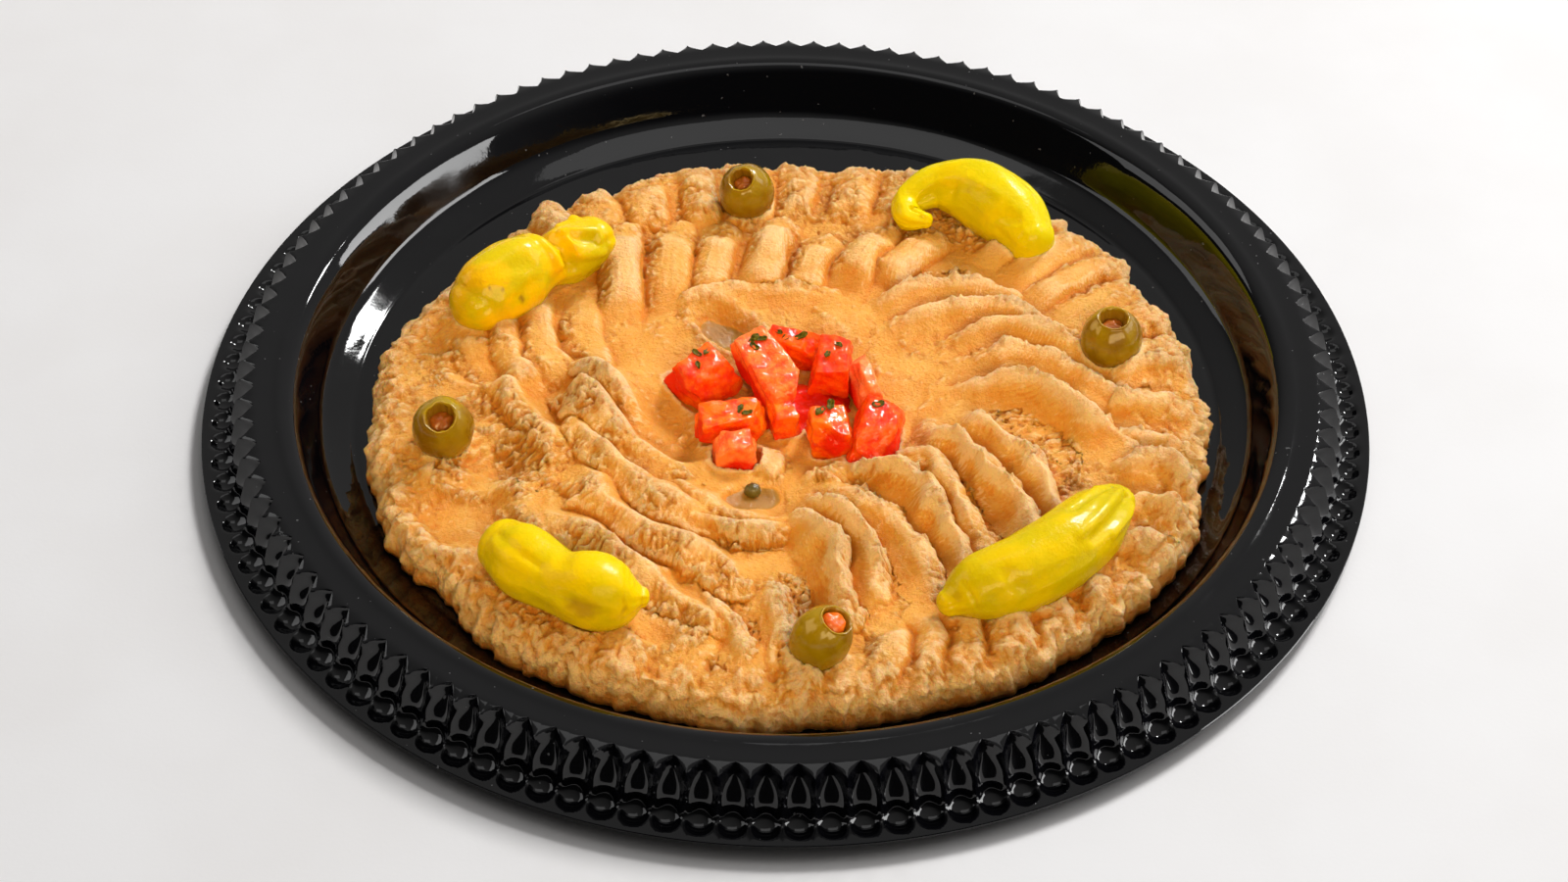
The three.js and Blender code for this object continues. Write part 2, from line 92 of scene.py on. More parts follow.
# Outside of the rim along the sharp ridges between the flutes: radius at each height.
ridge_heights = [4.9, 5.6, 7.2, 9.6, 12.4, 14.2, 15.6, 16.6]
ridge_radii = [146.0, 145.4, 144.8, 144.2, 143.4, 142.9, 142.2, 141.2]
arch_tip = 137.5  # where a flute's pointed arch starts on the ledge
scoop_top, scoop_foot = 4.3, 1.3  # depth of a scoop under the ledge and at its foot
scoop_deepens = (6.0, 16.5)  # heights between which it does
arch_narrows = (11.0, 15.8)  # heights between which a round scoop narrows to its arch
ledge_droop = 1.0  # how much lower the tips between the arches are than the ledge
pit_depth, pit_width = 1.3, 3.25  # oval pit at a flute's foot, half in the wall, half in the flange
pit_up, pit_out = 2.3, 4.1  # how far it goes up the wall and out in the flange


def soften(line, rounds):
    """Cuts the corners of a line, so that it bends smoothly; its ends stay."""
    points = [np.array(p, float) for p in line]
    for _ in range(rounds):
        cut = [points[0]]
        for p, q in zip(points, points[1:]):
            cut += [0.75 * p + 0.25 * q, 0.25 * p + 0.75 * q]
        points = cut + [points[-1]]
    return np.array(points)


def even_line(points, step):
    """The same line with its points at even steps."""
    run = np.concatenate([[0], np.cumsum(np.hypot(*np.diff(points, axis=0).T))])
    at = np.linspace(0, run[-1], max(2, round(run[-1] / step) + 1))
    return np.stack([np.interp(at, run, points[:, 0]), np.interp(at, run, points[:, 1])], axis=1)


def ease(low, high, value):
    """Goes smoothly from 0 to 1 between two values."""
    share = np.clip((value - low) / (high - low), 0, 1)
    return share * share * (3 - 2 * share)


def ring(count, radius, height):
    """A level circle of points round the tray's middle."""
    turn = 2 * math.pi * np.arange(count) / count
    return np.stack([radius * np.cos(turn), radius * np.sin(turn), height + 0 * turn], axis=1)


def fluted_rings(columns, steps, lower):
    """Rings over the outer part of the ledge, down the scoops and over the flange.

    steps are the numbers of rings on these. lower moves them to the sheet's other side.
    """
    across = -0.5 * np.cos(math.pi * np.arange(columns) / columns)  # -0.5 is on a ridge
    pointed = (1 - np.abs(2 * across)) ** 0.75
    edge = ridge_radii[-2] - pointed * scoop_top
    ledge = np.linspace(0, 1, steps[0])[:, None]
    ledge_r = arch_tip - 0.1 + (edge - arch_tip + 0.1) * ledge
    ledge_z = ledge_end - ledge_droop * ease(arch_tip, ridge_radii[-2], ledge_r) - lower
    down = np.linspace(0, 1, steps[1])[:, None]
    foot = ridge_heights[0]
    wall_z = ledge_z[-1] - fold + (foot + fold - ledge_z[-1]) * down - 0.4 * lower
    depth = scoop_foot + (scoop_top - scoop_foot) * ease(*scoop_deepens, wall_z)
    arch = ease(*arch_narrows, wall_z)
    scoop = pointed * arch + (1 - (2 * across) ** 2) * (1 - arch)
    wall_r = np.interp(wall_z, ridge_heights, ridge_radii) - depth * scoop - lower
    out = np.linspace(0, 1, steps[2])[:, None]
    flange_r = wall_r[-1] + fold + (tray_radius - rounded_rim - fold - wall_r[-1]) * out
    flange_z = flange_top - lower * flange_thick / sheet + 0 * flange_r
    radii = np.concatenate([ledge_r, wall_r, flange_r])
    heights = np.concatenate([ledge_z, wall_z, flange_z])
    no_pit = np.full_like(ledge_r, -12)
    run = np.concatenate([no_pit, foot - wall_z, flange_r - ridge_radii[0]])  # outwards past the foot
    flute_width = 2 * math.pi * ridge_radii[0] / flute_count
    off = np.hypot(
        (run - (pit_out - pit_up) / 2) / ((pit_out + pit_up) / 2), across * flute_width / pit_width)
    pit = pit_depth * np.clip(1 - off**2.5, 0, None) ** 0.8
    downwards = ease(-1.5, 1.0, run)
    radii -= pit * (1 - downwards)
    heights -= pit * downwards
    for line in (radii, heights):  # rounds the edges of the arches and the foot
        line[1:-1] = 0.2 * line[:-2] + 0.6 * line[1:-1] + 0.2 * line[2:]
    turn = 2 * math.pi * (np.arange(flute_count)[:, None] + across + 0.5).ravel() / flute_count
    rings = []
    for radius, height in zip(radii, heights):
        r, z = np.tile(radius, flute_count), np.tile(height, flute_count)
        rings.append(np.stack([r * np.cos(turn), r * np.sin(turn), z], axis=1))
    return rings


def stitch(rings):
    """Faces between rings of points that all go round the same way. A ring may be one point."""
    faces, start = [], 0
    for near, far in zip(rings, rings[1:]):
        a, b, other = len(near), len(far), start + len(near)
        i = j = 0
        if a == b:
            k = np.arange(a)
            after = (k + 1) % a
            quads = np.stack([start + k, other + k, other + after, start + after], axis=1)
            faces += quads.tolist()
            i, j = a, b
        while i < a or j < b:
            step_far = i >= a or (j < b and (j + 1) * a <= (i + 1) * b)
            third = other + (j + 1) % b if step_far else start + (i + 1) % a
            corners = (start + i % a, other + j % b, third)
            if len(set(corners)) == 3:
                faces.append(corners)
            i, j = (i, j + 1) if step_far else (i + 1, j)
        start = other
    return faces


def make_piece(name, points, faces, material, slot, *nodes, sharp=None):
    """A smooth-shaded mesh that rides on the platter and stands for the given nodes."""
    mesh = bpy.data.meshes.new(name)
    mesh.from_pydata((np.asarray(points) * mm).tolist(), [], faces)
    mesh.shade_smooth()
    if sharp:
        mesh.set_sharp_from_angle(angle=math.radians(sharp))
    mesh.materials.append(material)
    piece = bpy.data.objects.new(name, mesh)
    bpy.context.scene.collection.objects.link(piece)
    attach(piece, "root")
    if nodes:
        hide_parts(*nodes)
    return piece


def new_material(name, values):
    """A material whose shader has these constant values; returns the material, tree and shader."""
    material = bpy.data.materials.new(name)
    material.use_nodes = True
    shader = material.node_tree.nodes["Principled BSDF"]
    for socket, value in values.items():
        shader.inputs[socket].default_value = value
    return material, material.node_tree, shader


def add(tree, kind, inputs=None, **settings):
    """A node with its settings made, and its inputs given as values or linked from sockets."""
    made = tree.nodes.new(f"ShaderNode{kind}")
    for key, value in settings.items():
        setattr(made, key, value)
    for socket, value in (inputs or {}).items():
        if isinstance(value, bpy.types.NodeSocket):
            tree.links.new(value, made.inputs[socket])
        else:
            made.inputs[socket].default_value = value
    return made


def place_of(tree):
    """Where a point lies on the platter."""
    return add(tree, "TexCoord").outputs["Object"]


def mask_of(tree, name):
    """The numbers of this name that a piece has at its points."""
    return add(tree, "Attribute", attribute_name=name).outputs["Fac"]


def noise(place, size, detail=3.0, rough=0.5):
    """Noise whose lumps are about this many millimetres, from 0 to 1."""
    inputs = {"Vector": place, "Scale": 1 / (size * mm), "Detail": detail, "Roughness": rough}
    return add(place.id_data, "TexNoise", inputs).outputs["Fac"]


def spread(value, low, high, to_low=0.0, to_high=1.0):
    """Maps a range of a value smoothly to another range."""
    inputs = {"Value": value, "From Min": low, "From Max": high, "To Min": to_low, "To Max": to_high}
    return add(value.id_data, "MapRange", inputs, interpolation_type="SMOOTHSTEP").outputs["Result"]


def blend(share, first, second):
    """A colour between two, by a share."""
    whole = [value if isinstance(value, bpy.types.NodeSocket) else (*value, 1.0) for value in (first, second)]
    return add(share.id_data, "Mix", {0: share, 6: whole[0], 7: whole[1]}, data_type="RGBA").outputs[2]


def math_of(kind, first, second=0.0):
    """One step of arithmetic on two values."""
    return add(first.id_data, "Math", {0: first, 1: second}, operation=kind).outputs[0]


def bump(height, depth, normal=None):
    """A bump whose height of 1 stands this many millimetres proud."""
    inputs = {"Height": height, "Distance": depth * mm, "Strength": 1.0}
    if normal:
        inputs["Normal"] = normal
    return add(height.id_data, "Bump", inputs).outputs["Normal"]


def feed(node, sockets):
    """Links each socket to the node's input of that name."""
    for name, socket in sockets.items():
        node.id_data.links.new(socket, node.inputs[name])


inside = even_line(soften(inside_line[5:], 2), 0.75)
tray_rings = [np.array([[0, 0, sheet]])]
tray_rings += [ring(floor_columns // 4, inside_line[1][0], sheet)]
tray_rings += [ring(floor_columns, radius, sheet) for radius, _ in inside_line[2:5]]
tray_rings += [ring(wall_columns, radius, height) for radius, height in inside[:-1]]
tray_rings += fluted_rings(upper_flute, (5, 16, 12), 0.0)
tray_rings += [ring(rim_columns, tray_radius, flange_top - flange_thick * share) for share in (0.2, 0.8)]
tray_rings += fluted_rings(under_flute, (3, 8, 6), 0.9 * sheet)[::-1]
tray_rings += [ring(wall_columns, radius + steep_wall, height - sheet)
               for radius, height in inside[1:-1][::-2]]
tray_rings += [ring(floor_columns, inside_line[4][0], 0), np.array([[0, 0, 0]])]

black_plastic, tree, shader = new_material("black_plastic", {"IOR": 1.5})
place = place_of(tree)
dust = spread(noise(place, 1.1, 0, 0), 0.845, 0.87)
ripple = bump(noise(place, 16, 1), 0.22)
feed(shader, {
    "Base Color": blend(dust, (0.002, 0.002, 0.003), (0.16, 0.16, 0.16)),
    "Roughness": spread(noise(place, 22, 5, 0.6), 0.45, 0.75, 0.04, 0.11),  # where it was handled
    "Normal": bump(noise(place, 1.4, 2), 0.008, ripple),
})

make_piece(
    "serving_tray", np.concatenate(tray_rings), stitch(tray_rings), black_plastic, "tray_plastic",
    "tray", sharp=38)

# ---------------------------------------------------------------------------------------- hummus
# A stiff paste of chickpeas and red pepper, spread in a thick disc on the tray's floor and worked
# with the back of a spoon. The spoon pressed smooth hollows and ribs, and where it lifted off, the
# paste tore into rough, more orange crests. It rolls down to the tray in a lumpy edge.

hummus_centre = np.array([0.0, -10.4])
hummus_radius = 106.5
hummus_level = 11.4  # height of the spread between its ridges
top_share = 0.94  # the part of the radius where the top rolls down into the side
ring_step = 0.52
hummus_columns = 1216  # points round the outer half of it
side_rings = 14  # down its side
under_columns = 240
tray_gap = 0.35  # between the tray and the hummus

# Fans of spoon strokes. Each stroke is a quadratic curve along its crest, and the strokes of a fan
# go evenly from the first, past the middle, to the last. A rib is round on both sides. A step falls
# on one side (1 is left of its way, -1 right) in a face as wide as "torn", and on the other in a
# smooth scoop.
fans = [
    dict(kind="rib", count=7, height=6.2, width=6.4,  # smooth ribs at the back
         first=[(-45.5, 20), (-46, 40), (-45.5, 57)], last=[(26.5, 36), (31, 46), (39, 55)]),
    dict(kind="step", side=1, count=1, height=5.5, width=9, torn=3,  # fold over their ends
         first=[(-32, 24), (-12, 35), (16, 31)], last=[(-32, 24), (-12, 35), (16, 31)]),
    dict(kind="rib", count=8, height=3.8, width=6.2,  # back edge
         first=[(-62, 54), (-65, 62), (-70, 73)], last=[(28, 64), (31, 76), (34, 90)]),
    dict(kind="rib", count=6, height=4.2, width=7,  # right back edge
         first=[(52, 44), (66, 58), (79, 72)], last=[(80, 3), (92, 9), (108, 14)]),
    dict(kind="step", side=1, count=2, height=6, width=9, torn=3.5,  # behind the sweeps
         first=[(24, 26), (42, 36), (64, 30)], last=[(28, 18), (54, 30), (72, 16)]),
    dict(kind="step", side=1, count=3, height=8, width=11, torn=3.5,  # long sweeps
         first=[(41, -6), (66, 3), (84, -28)], middle=[(42, 4), (68, 14), (92, -14)],
         last=[(42, 11), (57, 22), (76, 8)]),
    dict(kind="step", side=1, count=7, height=8, width=7, torn=4.2,  # spiral
         first=[(-2, -53), (11, -60), (13, -86)], middle=[(16, -37), (36, -42), (42, -70)],
         last=[(43, -14), (58, -26), (67, -52)]),
    dict(kind="step", side=1, count=6, height=6.5, width=7.5, torn=4,  # right edge
         first=[(82, -60), (90, -64), (96, -70)], last=[(84, -2), (96, 2), (108, 3)]),
    dict(kind="rib", count=7, height=3.8, width=5.4,  # front right edge
         first=[(85, -68), (87, -77), (87, -88)], last=[(21, -90), (23, -101), (21, -113)]),
    dict(kind="step", side=-1, count=4, height=8, width=8, torn=8,  # left front
         first=[(-57, -4), (-48, -18), (-30, -32)], middle=[(-56, -24), (-45, -48), (-10, -66)],
         last=[(-60, -48), (-48, -62), (-16, -90)]),
    dict(kind="rib", count=4, height=3.6, width=6,  # left
         first=[(-55, 32), (-55, 12), (-50, -3)], last=[(-92, 30), (-85, 12), (-76, -4)]),
    dict(kind="rib", count=6, height=2.8, width=6,  # front edge
         first=[(-46, -92), (-50, -99), (-55, -106)], last=[(14, -98), (16, -105), (17, -115)]),
    dict(kind="step", side=-1, count=2, height=5, width=6, torn=4,  # round the caper
         first=[(-30, -34), (-22, -50), (-4, -51)], last=[(-30, -44), (-18, -60), (2, -58)]),
    dict(kind="step", side=-1, count=2, height=6.5, width=9, torn=6,  # left middle
         first=[(-58, 4), (-48, -1), (-40, -14)], last=[(-78, -2), (-68, -12), (-58, -30)]),
    dict(kind="step", side=1, count=3, height=5, width=7, torn=4,  # front
         first=[(-40, -84), (-30, -88), (-22, -102)], last=[(-4, -76), (2, -86), (-2, -104)]),
]
# Smooth hollows pressed by the spoon: centre, half lengths, turn, depth, and whether a rim of loose
# paste was pushed up round it. A negative depth is a heap, and a high heap is torn.
hollows = [
    ((0, -10), (42, 34), 0, 3.2, False), ((-33, -24), (15, 21), 10, 3.4, False),
    ((-16, 19), (11, 7), -35, 2.4, True), ((14, 21), (9, 12), 0, -1.6, False),
    ((-3, -31), (5, 7.5), 20, -2.4, False), ((26, -39), (10, 5), -15, -2.6, False),
    ((11, -38), (7, 4.5), 10, -2.0, False), ((37, -22), (5.5, 10), 15, -1.8, False),
    ((-75, -34), (12, 10), 0, 3.0, True), ((-80, -52), (17, 12), -30, 3.2, True),
    ((-28, -86), (9, 12), -15, 2.8, True), ((-6, -46), (12, 9), 0, 2.0, False),
    ((-62, -12), (9, 12), 20, 2.4, True), ((-78, 2), (10, 8), 0, 2.0, True),
    ((8, -86), (11, 8), 0, 2.0, False),
]
overhang = 0.9  # how far a torn crest leans over its face
rim_share = 0.4  # height of a hollow's rim, as a share of its depth
heap_torn = -1.9  # a heap higher than this is torn
# Clear juice that has run from the tomato into the hollows: centre, half lengths, turn and level.
pools = [((-16, 17.5), (9.5, 4.6), -38, 10.3), ((-8, -44), (8, 4.5), 10, 9.6)]


def lumps(x, y, size, seed):
    """Smooth noise from about -1 to 1 whose lumps are of a size."""
    lattice = 2 * math.pi * np.random.default_rng(seed).random((256, 256))
    x, y = np.asarray(x) / size, np.asarray(y) / size
    column, row = np.floor(x).astype(int), np.floor(y).astype(int)
    u, v = x - column, y - row

    def corner(right, up):
        way = lattice[(column + right) % 256, (row + up) % 256]
        return np.cos(way) * (u - right) + np.sin(way) * (v - up)

    ease_u, ease_v = u**3 * (u * (6 * u - 15) + 10), v**3 * (v * (6 * v - 15) + 10)
    near = corner(0, 0) * (1 - ease_u) + corner(1, 0) * ease_u
    far = corner(0, 1) * (1 - ease_u) + corner(1, 1) * ease_u
    return 1.5 * (near * (1 - ease_v) + far * ease_v)


def strokes_of(fan):
    """The lines of a fan's strokes, one after another."""
    first, last = np.array(fan["first"], float), np.array(fan["last"], float)
    middle = np.array(fan["middle"], float) if "middle" in fan else (first + last) / 2
    share = np.linspace(0, 1, 13)[:, None]
    for s in np.linspace(0, 1, fan["count"]):
        start, bend, end = (
            (1 - s) * (1 - 2 * s) * first + 4 * s * (1 - s) * middle + s * (2 * s - 1) * last)
        yield (1 - share) ** 2 * start + 2 * share * (1 - share) * bend + share**2 * end


def nearest_on(line, x, y):
    """Distance to a stroke, signed by its left side, the run along it, and its left normal."""
    best = np.full(x.shape, 1e9)
    signed, run, left_x, left_y = (np.zeros(x.shape) for _ in range(4))
    passed = 0.0
    for (px, py), (qx, qy) in zip(line, line[1:]):
        dx, dy = qx - px, qy - py
        length = math.hypot(dx, dy)
        share = np.clip(((x - px) * dx + (y - py) * dy) / length**2, 0, 1)
        off_x, off_y = x - px - share * dx, y - py - share * dy
        distance = np.hypot(off_x, off_y)
        closer = distance < best
        best = np.where(closer, distance, best)
        signed = np.where(closer, distance * np.sign(dx * off_y - dy * off_x), signed)
        run = np.where(closer, passed + share * length, run)
        left_x, left_y = np.where(closer, -dy / length, left_x), np.where(closer, dx / length, left_y)
        passed += length
    return signed, run, passed, left_x, left_y


def ridges(x, y):
    """Height of the spoon strokes, how torn the paste is there, and how far it leans over."""
    top, torn, lean_x, lean_y = (np.zeros(x.shape) for _ in range(4))
    chance = np.random.default_rng(7)
    for number, (fan, line) in enumerate((fan, line) for fan in fans for line in strokes_of(fan)):
        width = fan["width"] * chance.uniform(0.88, 1.12)
        height = fan["height"] * chance.uniform(0.75, 1.2)
        line = line + chance.uniform(-1.2, 1.2, 2) + chance.uniform(-0.09, 0.09) * (line - line[0])
        reach = max(width, fan.get("torn", 0) + 1.5)
        low, high = line.min(axis=0) - reach, line.max(axis=0) + reach
        around = (x > low[0]) & (x < high[0]) & (y > low[1]) & (y < high[1])
        signed, run, length, left_x, left_y = nearest_on(line, x[around], y[around])
        along = run / length
        # The spoon sets in softly and lifts off at the end, it presses unevenly on the way, it leaves
        # drag lines, and the edge that it tears is jagged.
        ends = ease(-0.08, 0.3, along) * (1 - 0.5 * ease(0.75, 1, along))
        wobble = lumps(run, 0 * run + 50 * number, 11, 100 + number)
        drag = lumps(run, signed * 7, 8, 300 + number)
        teeth = lumps(run, 0.35 * signed, 2.8, 500 + number)
        teeth = teeth + 0.7 * lumps(run, 0.3 * signed, 1.3, 700 + number)
        if fan["kind"] == "rib":  # steeper and rougher on the side that faces left
            leftwards = ease(-0.3, 0.3, -left_x * np.sign(signed))
            share = np.clip(np.abs(signed) / width, 0, 1)
            profile = 1 - share ** (4.0 - 2.2 * leftwards)
            rough = 0.95 * leftwards * ease(0.15, 0.6, share)
            ribbon = 0
        else:  # "past" the crest is the torn face, and behind it the scoop
            past = signed * fan["side"]
            foot = fan["torn"] + 0.8 * teeth
            share = np.clip(np.where(past > 0, past / foot, -past / width), 0, 1)
            face, scoop = 1 - 0.7 * share**1.15 - 0.3 * ease(0.85, 1, share), (1 - share) ** 1.7
            profile = np.where(past > 0, face, scoop)
            rough = np.where(past > 0, 1, 1 - ease(0.0, 0.12, share))
            ribbon = np.where(past > 0, ease(0, 0.2, share), 0)
        made = height * profile * ends * (1 + 0.2 * wobble)
        made += (0.2 * drag * (1 - rough) + 0.8 * ribbon * np.abs(teeth)) * ends
        above = made > top[around]
        rough = rough * ends * np.clip(0.85 + 1.1 * wobble, 0.15, 1.4)
        over = overhang * rough * fan.get("side", 0)
        for field, value in ((top, made), (torn, rough), (lean_x, left_x * over), (lean_y, left_y * over)):
            field[around] = np.where(above, value, field[around])
    return top, torn, lean_x, lean_y


def within(x, y, centre, halves, turn):
    """How far a place is from the centre of a turned ellipse: 1 on its outline."""
    cos, sin = math.cos(math.radians(turn)), math.sin(math.radians(turn))
    u = ((x - centre[0]) * cos + (y - centre[1]) * sin) / halves[0]
    v = ((y - centre[1]) * cos - (x - centre[0]) * sin) / halves[1]
    return np.hypot(u, v)


def pressed_hollows(x, y):
    """Depth of the hollows, and how torn their rims are."""
    depth, torn = np.zeros(x.shape), np.zeros(x.shape)
    for centre, halves, turn, deep, rimmed in hollows:
        off = within(x, y, centre, halves, turn)
        depth += deep * (1 - ease(0.35, 1.05, off))
        if rimmed:
            rim = np.exp(-((off - 1.15) / 0.2) ** 2)
            depth -= rim_share * deep * rim
            torn = np.maximum(torn, 0.8 * rim)
        if deep < heap_torn:
            torn = np.maximum(torn, 1.4 - 1.4 * ease(0.6, 1.2, off))
    return depth, torn


def curds(x, y, size, seed):
    """Rounded lumps with sharp creases between them, from 0 to about 1."""
    return np.abs(lumps(x, y, size, seed)) ** 0.8


def outline_at(turn):
    """Radius of the spread about its centre: a disc, wavy and lumpy at its edge."""
    # Each wave: its size, how many times it goes round, and where it starts in degrees.
    waves = ((2.1, 1, 60), (2.3, 2, 0), (0.9, 5, 170), (1.0, 11, -50), (0.8, 19, 30))
    radius = hummus_radius + sum(
        size * np.cos(times * turn + math.radians(start)) for size, times, start in waves)
    around = turn * hummus_radius
    return radius + 2.2 * lumps(around, 0 * turn, 9, 11) + 1.2 * lumps(around, 0 * turn, 3.6, 12)


def hummus_rings():
    """Rings from the middle out and down the side: share of the radius, angles, and share down."""
    count = round(top_share * hummus_radius / ring_step)
    shares = top_share * np.arange(1, count + 1) / count
    # Nearer the middle than each of these shares, a ring has half as many points.
    rings = [(share, hummus_columns >> sum(share < limit for limit in (0.5, 0.25, 0.12, 0.06)), 0.0)
             for share in shares]
    side = np.linspace(0, 1, side_rings + 1)[1:]
    rings += [(top_share + (1 - top_share) * math.sin(math.pi / 2 * s), hummus_columns, s) for s in side]
    return [(share, 2 * math.pi * np.arange(n) / n, down) for share, n, down in rings]


rings = hummus_rings()
turn = np.concatenate([at for _, at, _ in rings])
share = np.concatenate([0 * at + value for value, at, _ in rings])
down = np.concatenate([0 * at + value for _, at, value in rings])
outline = outline_at(turn)
x = hummus_centre[0] + share * outline * np.cos(turn)
y = hummus_centre[1] + share * outline * np.sin(turn)
unsteady = 1 - 0.65 * ease(5, 28, y)  # the strokes waver, less so at the back
warp_x = x + unsteady * (3.0 * lumps(x, y, 21, 1) + 1.2 * lumps(x, y, 7.5, 2))
warp_y = y + unsteady * (3.0 * lumps(x, y, 21, 3) + 1.2 * lumps(x, y, 7.5, 4))

# Where the paste is torn: on the strokes, round the hollows, in loose crags on plain places, at the
# back, and along the edge of the spread.
ridge, torn, lean_x, lean_y = ridges(warp_x, warp_y)
hollow, rim_torn = pressed_hollows(warp_x, warp_y)
plain = 1 - ease(0.3, 2.0, ridge)
crags = 0.5 - np.abs(lumps(x, y, 11, 5)) - 0.4 * np.abs(lumps(x, y, 4.5, 6))
torn = torn * ease(-0.75, 0.25, lumps(x, y, 9, 7))
torn = np.maximum(torn, rim_torn * ease(-0.5, 0.4, lumps(x, y, 8, 9)))
torn = np.clip(torn + 0.45 * plain * ease(0.1, 0.5, crags + 0.4 * lumps(x, y, 26, 8)), 0, 1.0)
torn = np.maximum(torn, 0.7 * ease(44, 58, y) * ease(-0.5, 0.4, lumps(x, y, 7, 13)))
edge = ease(0.84, 0.95, share + 0.03 * lumps(x, y, 9, 10))
torn = np.maximum(torn, 0.9 * edge)

# Height of the top: strokes, hollows and crags, curds of three sizes where it is torn, fine grain,
# and flat juice in the pools.
lumpy_x, lumpy_y = x + 0.8 * lumps(x, y, 3.4, 25), y + 0.8 * lumps(x, y, 3.4, 26)
top = hummus_level + ridge - hollow + 0.7 * plain * crags + 0.9 * lumps(x, y, 17, 20)
top += torn * (1.3 * curds(lumpy_x, lumpy_y, 8.0, 28) + 1.7 * curds(lumpy_x, lumpy_y, 4.4, 21) - 1.1)
small_curds = 1.9 * curds(lumpy_x, lumpy_y, 2.3, 22) + 1.0 * curds(x, y, 1.35, 29) - 0.95
top += torn * (1 - 0.6 * edge) * small_curds
top += 0.13 * lumps(x, y, 2.6, 23) + 0.09 * lumps(x, y, 1.2, 24)
# Wetness and painted shade: the paste under the pools is glossier, and darker than wet paste alone would be.
wet = np.zeros(x.shape)
for centre, halves, pool_turn, level in pools:
    inside_pool = 1 - ease(0.8, 1.1, within(x, y, centre, halves, pool_turn) + 0.15 * lumps(x, y, 5, 27))
    top = np.where(inside_pool > 0, top + inside_pool * (np.minimum(top, level) - top), top)
    wet = np.maximum(wet, inside_pool * ease(-0.5, 0.1, level - top))
juicy = 1 - ease(0.8, 1.3, within(x, y, (3, -10), (32, 26), 0))  # under and round the tomato
wet = np.maximum(wet, 0.3 * juicy)

# The side rolls down to the tray in lumps, and torn paste is pulled sideways.
foot = np.interp(np.hypot(x, y), *np.array(inside_line).T) + tray_gap
z = foot + (top - foot) * np.cos(math.pi / 2 * down) ** 0.8
round_edge = turn * hummus_radius
side_lump = 2.6 * curds(round_edge, 14 * down, 5.2, 31) + 1.3 * curds(round_edge, 14 * down, 2.3, 32) - 1.1
outward = side_lump * np.sin(math.pi * np.clip(down, 0, 0.93)) ** 0.7
sideways = torn * (1 - ease(0, 0.2, down))
x += lean_x + sideways * 0.55 * lumps(x, y, 3.1, 41) + outward * np.cos(turn)
y += lean_y + sideways * 0.55 * lumps(x, y, 3.1, 42) + outward * np.sin(turn)

# What lies on the hummus is pressed into it, and the paste stands up a little round it.
squeeze_width, squeeze_height, clearance = 2.6, 0.8, 0.2
reach = 3  # how far round a garnish this is worked out
for name, node in frame["nodes"].items():
    if name.startswith(("tray", "hummus", "pimento")):
        continue
    lying = BVHTree.FromObject(node, bpy.context.evaluated_depsgraph_get())
    low, high = (np.array(corner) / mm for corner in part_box(node.name))
    near = (x > low[0] - reach) & (x < high[0] + reach) & (y > low[1] - reach) & (y < high[1] + reach)
    for k in np.flatnonzero(near):
        point = Vector((x[k], y[k], z[k])) * mm
        distance = lying.find_nearest(point)[3] / mm
        z[k] += squeeze_height * (1 - ease(0, squeeze_width, distance))
        hit = lying.ray_cast(Vector((x[k], y[k], 0)) * mm, Vector((0, 0, 1)))[0]
        if hit:
            z[k] = max(foot[k], min(z[k], hit.z / mm - clearance))


def sunk_below(cell, rounds):
    """How far each point of the spread lies under the blurred paste round it."""
    column = ((x - x.min()) / cell).astype(int) + rounds
    row = ((y - y.min()) / cell).astype(int) + rounds
    size = (row.max() + rounds + 1, column.max() + rounds + 1)
    total, count = np.zeros(size), np.full(size, 1e-6)
    np.add.at(total, (row, column), z)
    np.add.at(count, (row, column), 1.0)
    for _ in range(rounds):
        for field in (total, count):
            for axis in (0, 1):
                field[:] = 0.25 * np.roll(field, 1, axis) + 0.5 * field + 0.25 * np.roll(field, -1, axis)
    return (total / count)[row, column] - z


# Millimetres that a point lies below the paste round it, over a wide and over a narrow stretch. They set
# painted shade and painted light in the paste's colour.
on_side = ease(0.1, 0.5, down)
# Painted light down the side: it counts as 1.6 mm proud, so it takes the pale colour of a lit crest.
sunk = sunk_below(1.2, 20) * (1 - ease(0, 0.3, down)) - 1.6 * on_side
# Painted shade in the pressed hollows: they count as lower than they are.
sunk = sunk + 0.2 * np.clip(hollow, 0, None)
# Painted shade in the creases between curds and painted light on their tops, less of both on the side.
crease = sunk_below(0.5, 6) * (1 - 0.6 * on_side)

hummus_points = np.stack([x, y, z], axis=1)
under = np.array([[*hummus_centre, sheet + tray_gap]])
hummus_surface = [
    hummus_points[:len(rings[0][1])].mean(axis=0, keepdims=True),
    *np.split(hummus_points, np.cumsum([len(at) for _, at, _ in rings])[:-1]),
    ring(under_columns, 0.97 * hummus_radius, sheet + tray_gap) + [*hummus_centre, 0], under]

paste, tree, shader = new_material("chickpea_paste", {
    "Subsurface Weight": 0.35, "Subsurface Radius": (1.0, 0.3, 0.05), "Subsurface Scale": 0.0014,
    "Specular IOR Level": 0.36,
})
place = place_of(tree)
torn_mask, sunk_mm, crease_mm, wet_mask = (
    mask_of(tree, name) for name in ("torn", "sunk", "crease", "wet"))
patches = noise(place, 7, 4, 0.6)
grain = noise(place, 0.8, 4, 0.65)
fine_lumps = noise(place, 1.6, 5, 0.7)
flecks = spread(noise(place, 2.4, 4, 0.65), 0.53, 0.66)
roughened = math_of("ADD", torn_mask, math_of("MULTIPLY", patches, 0.6))
flecked = math_of("MULTIPLY", flecks, spread(torn_mask, 0.0, 0.7, 0.15, 0.45))
colour = blend(spread(patches, 0.35, 0.65), (0.80, 0.37, 0.055), (0.84, 0.46, 0.10))  # cream
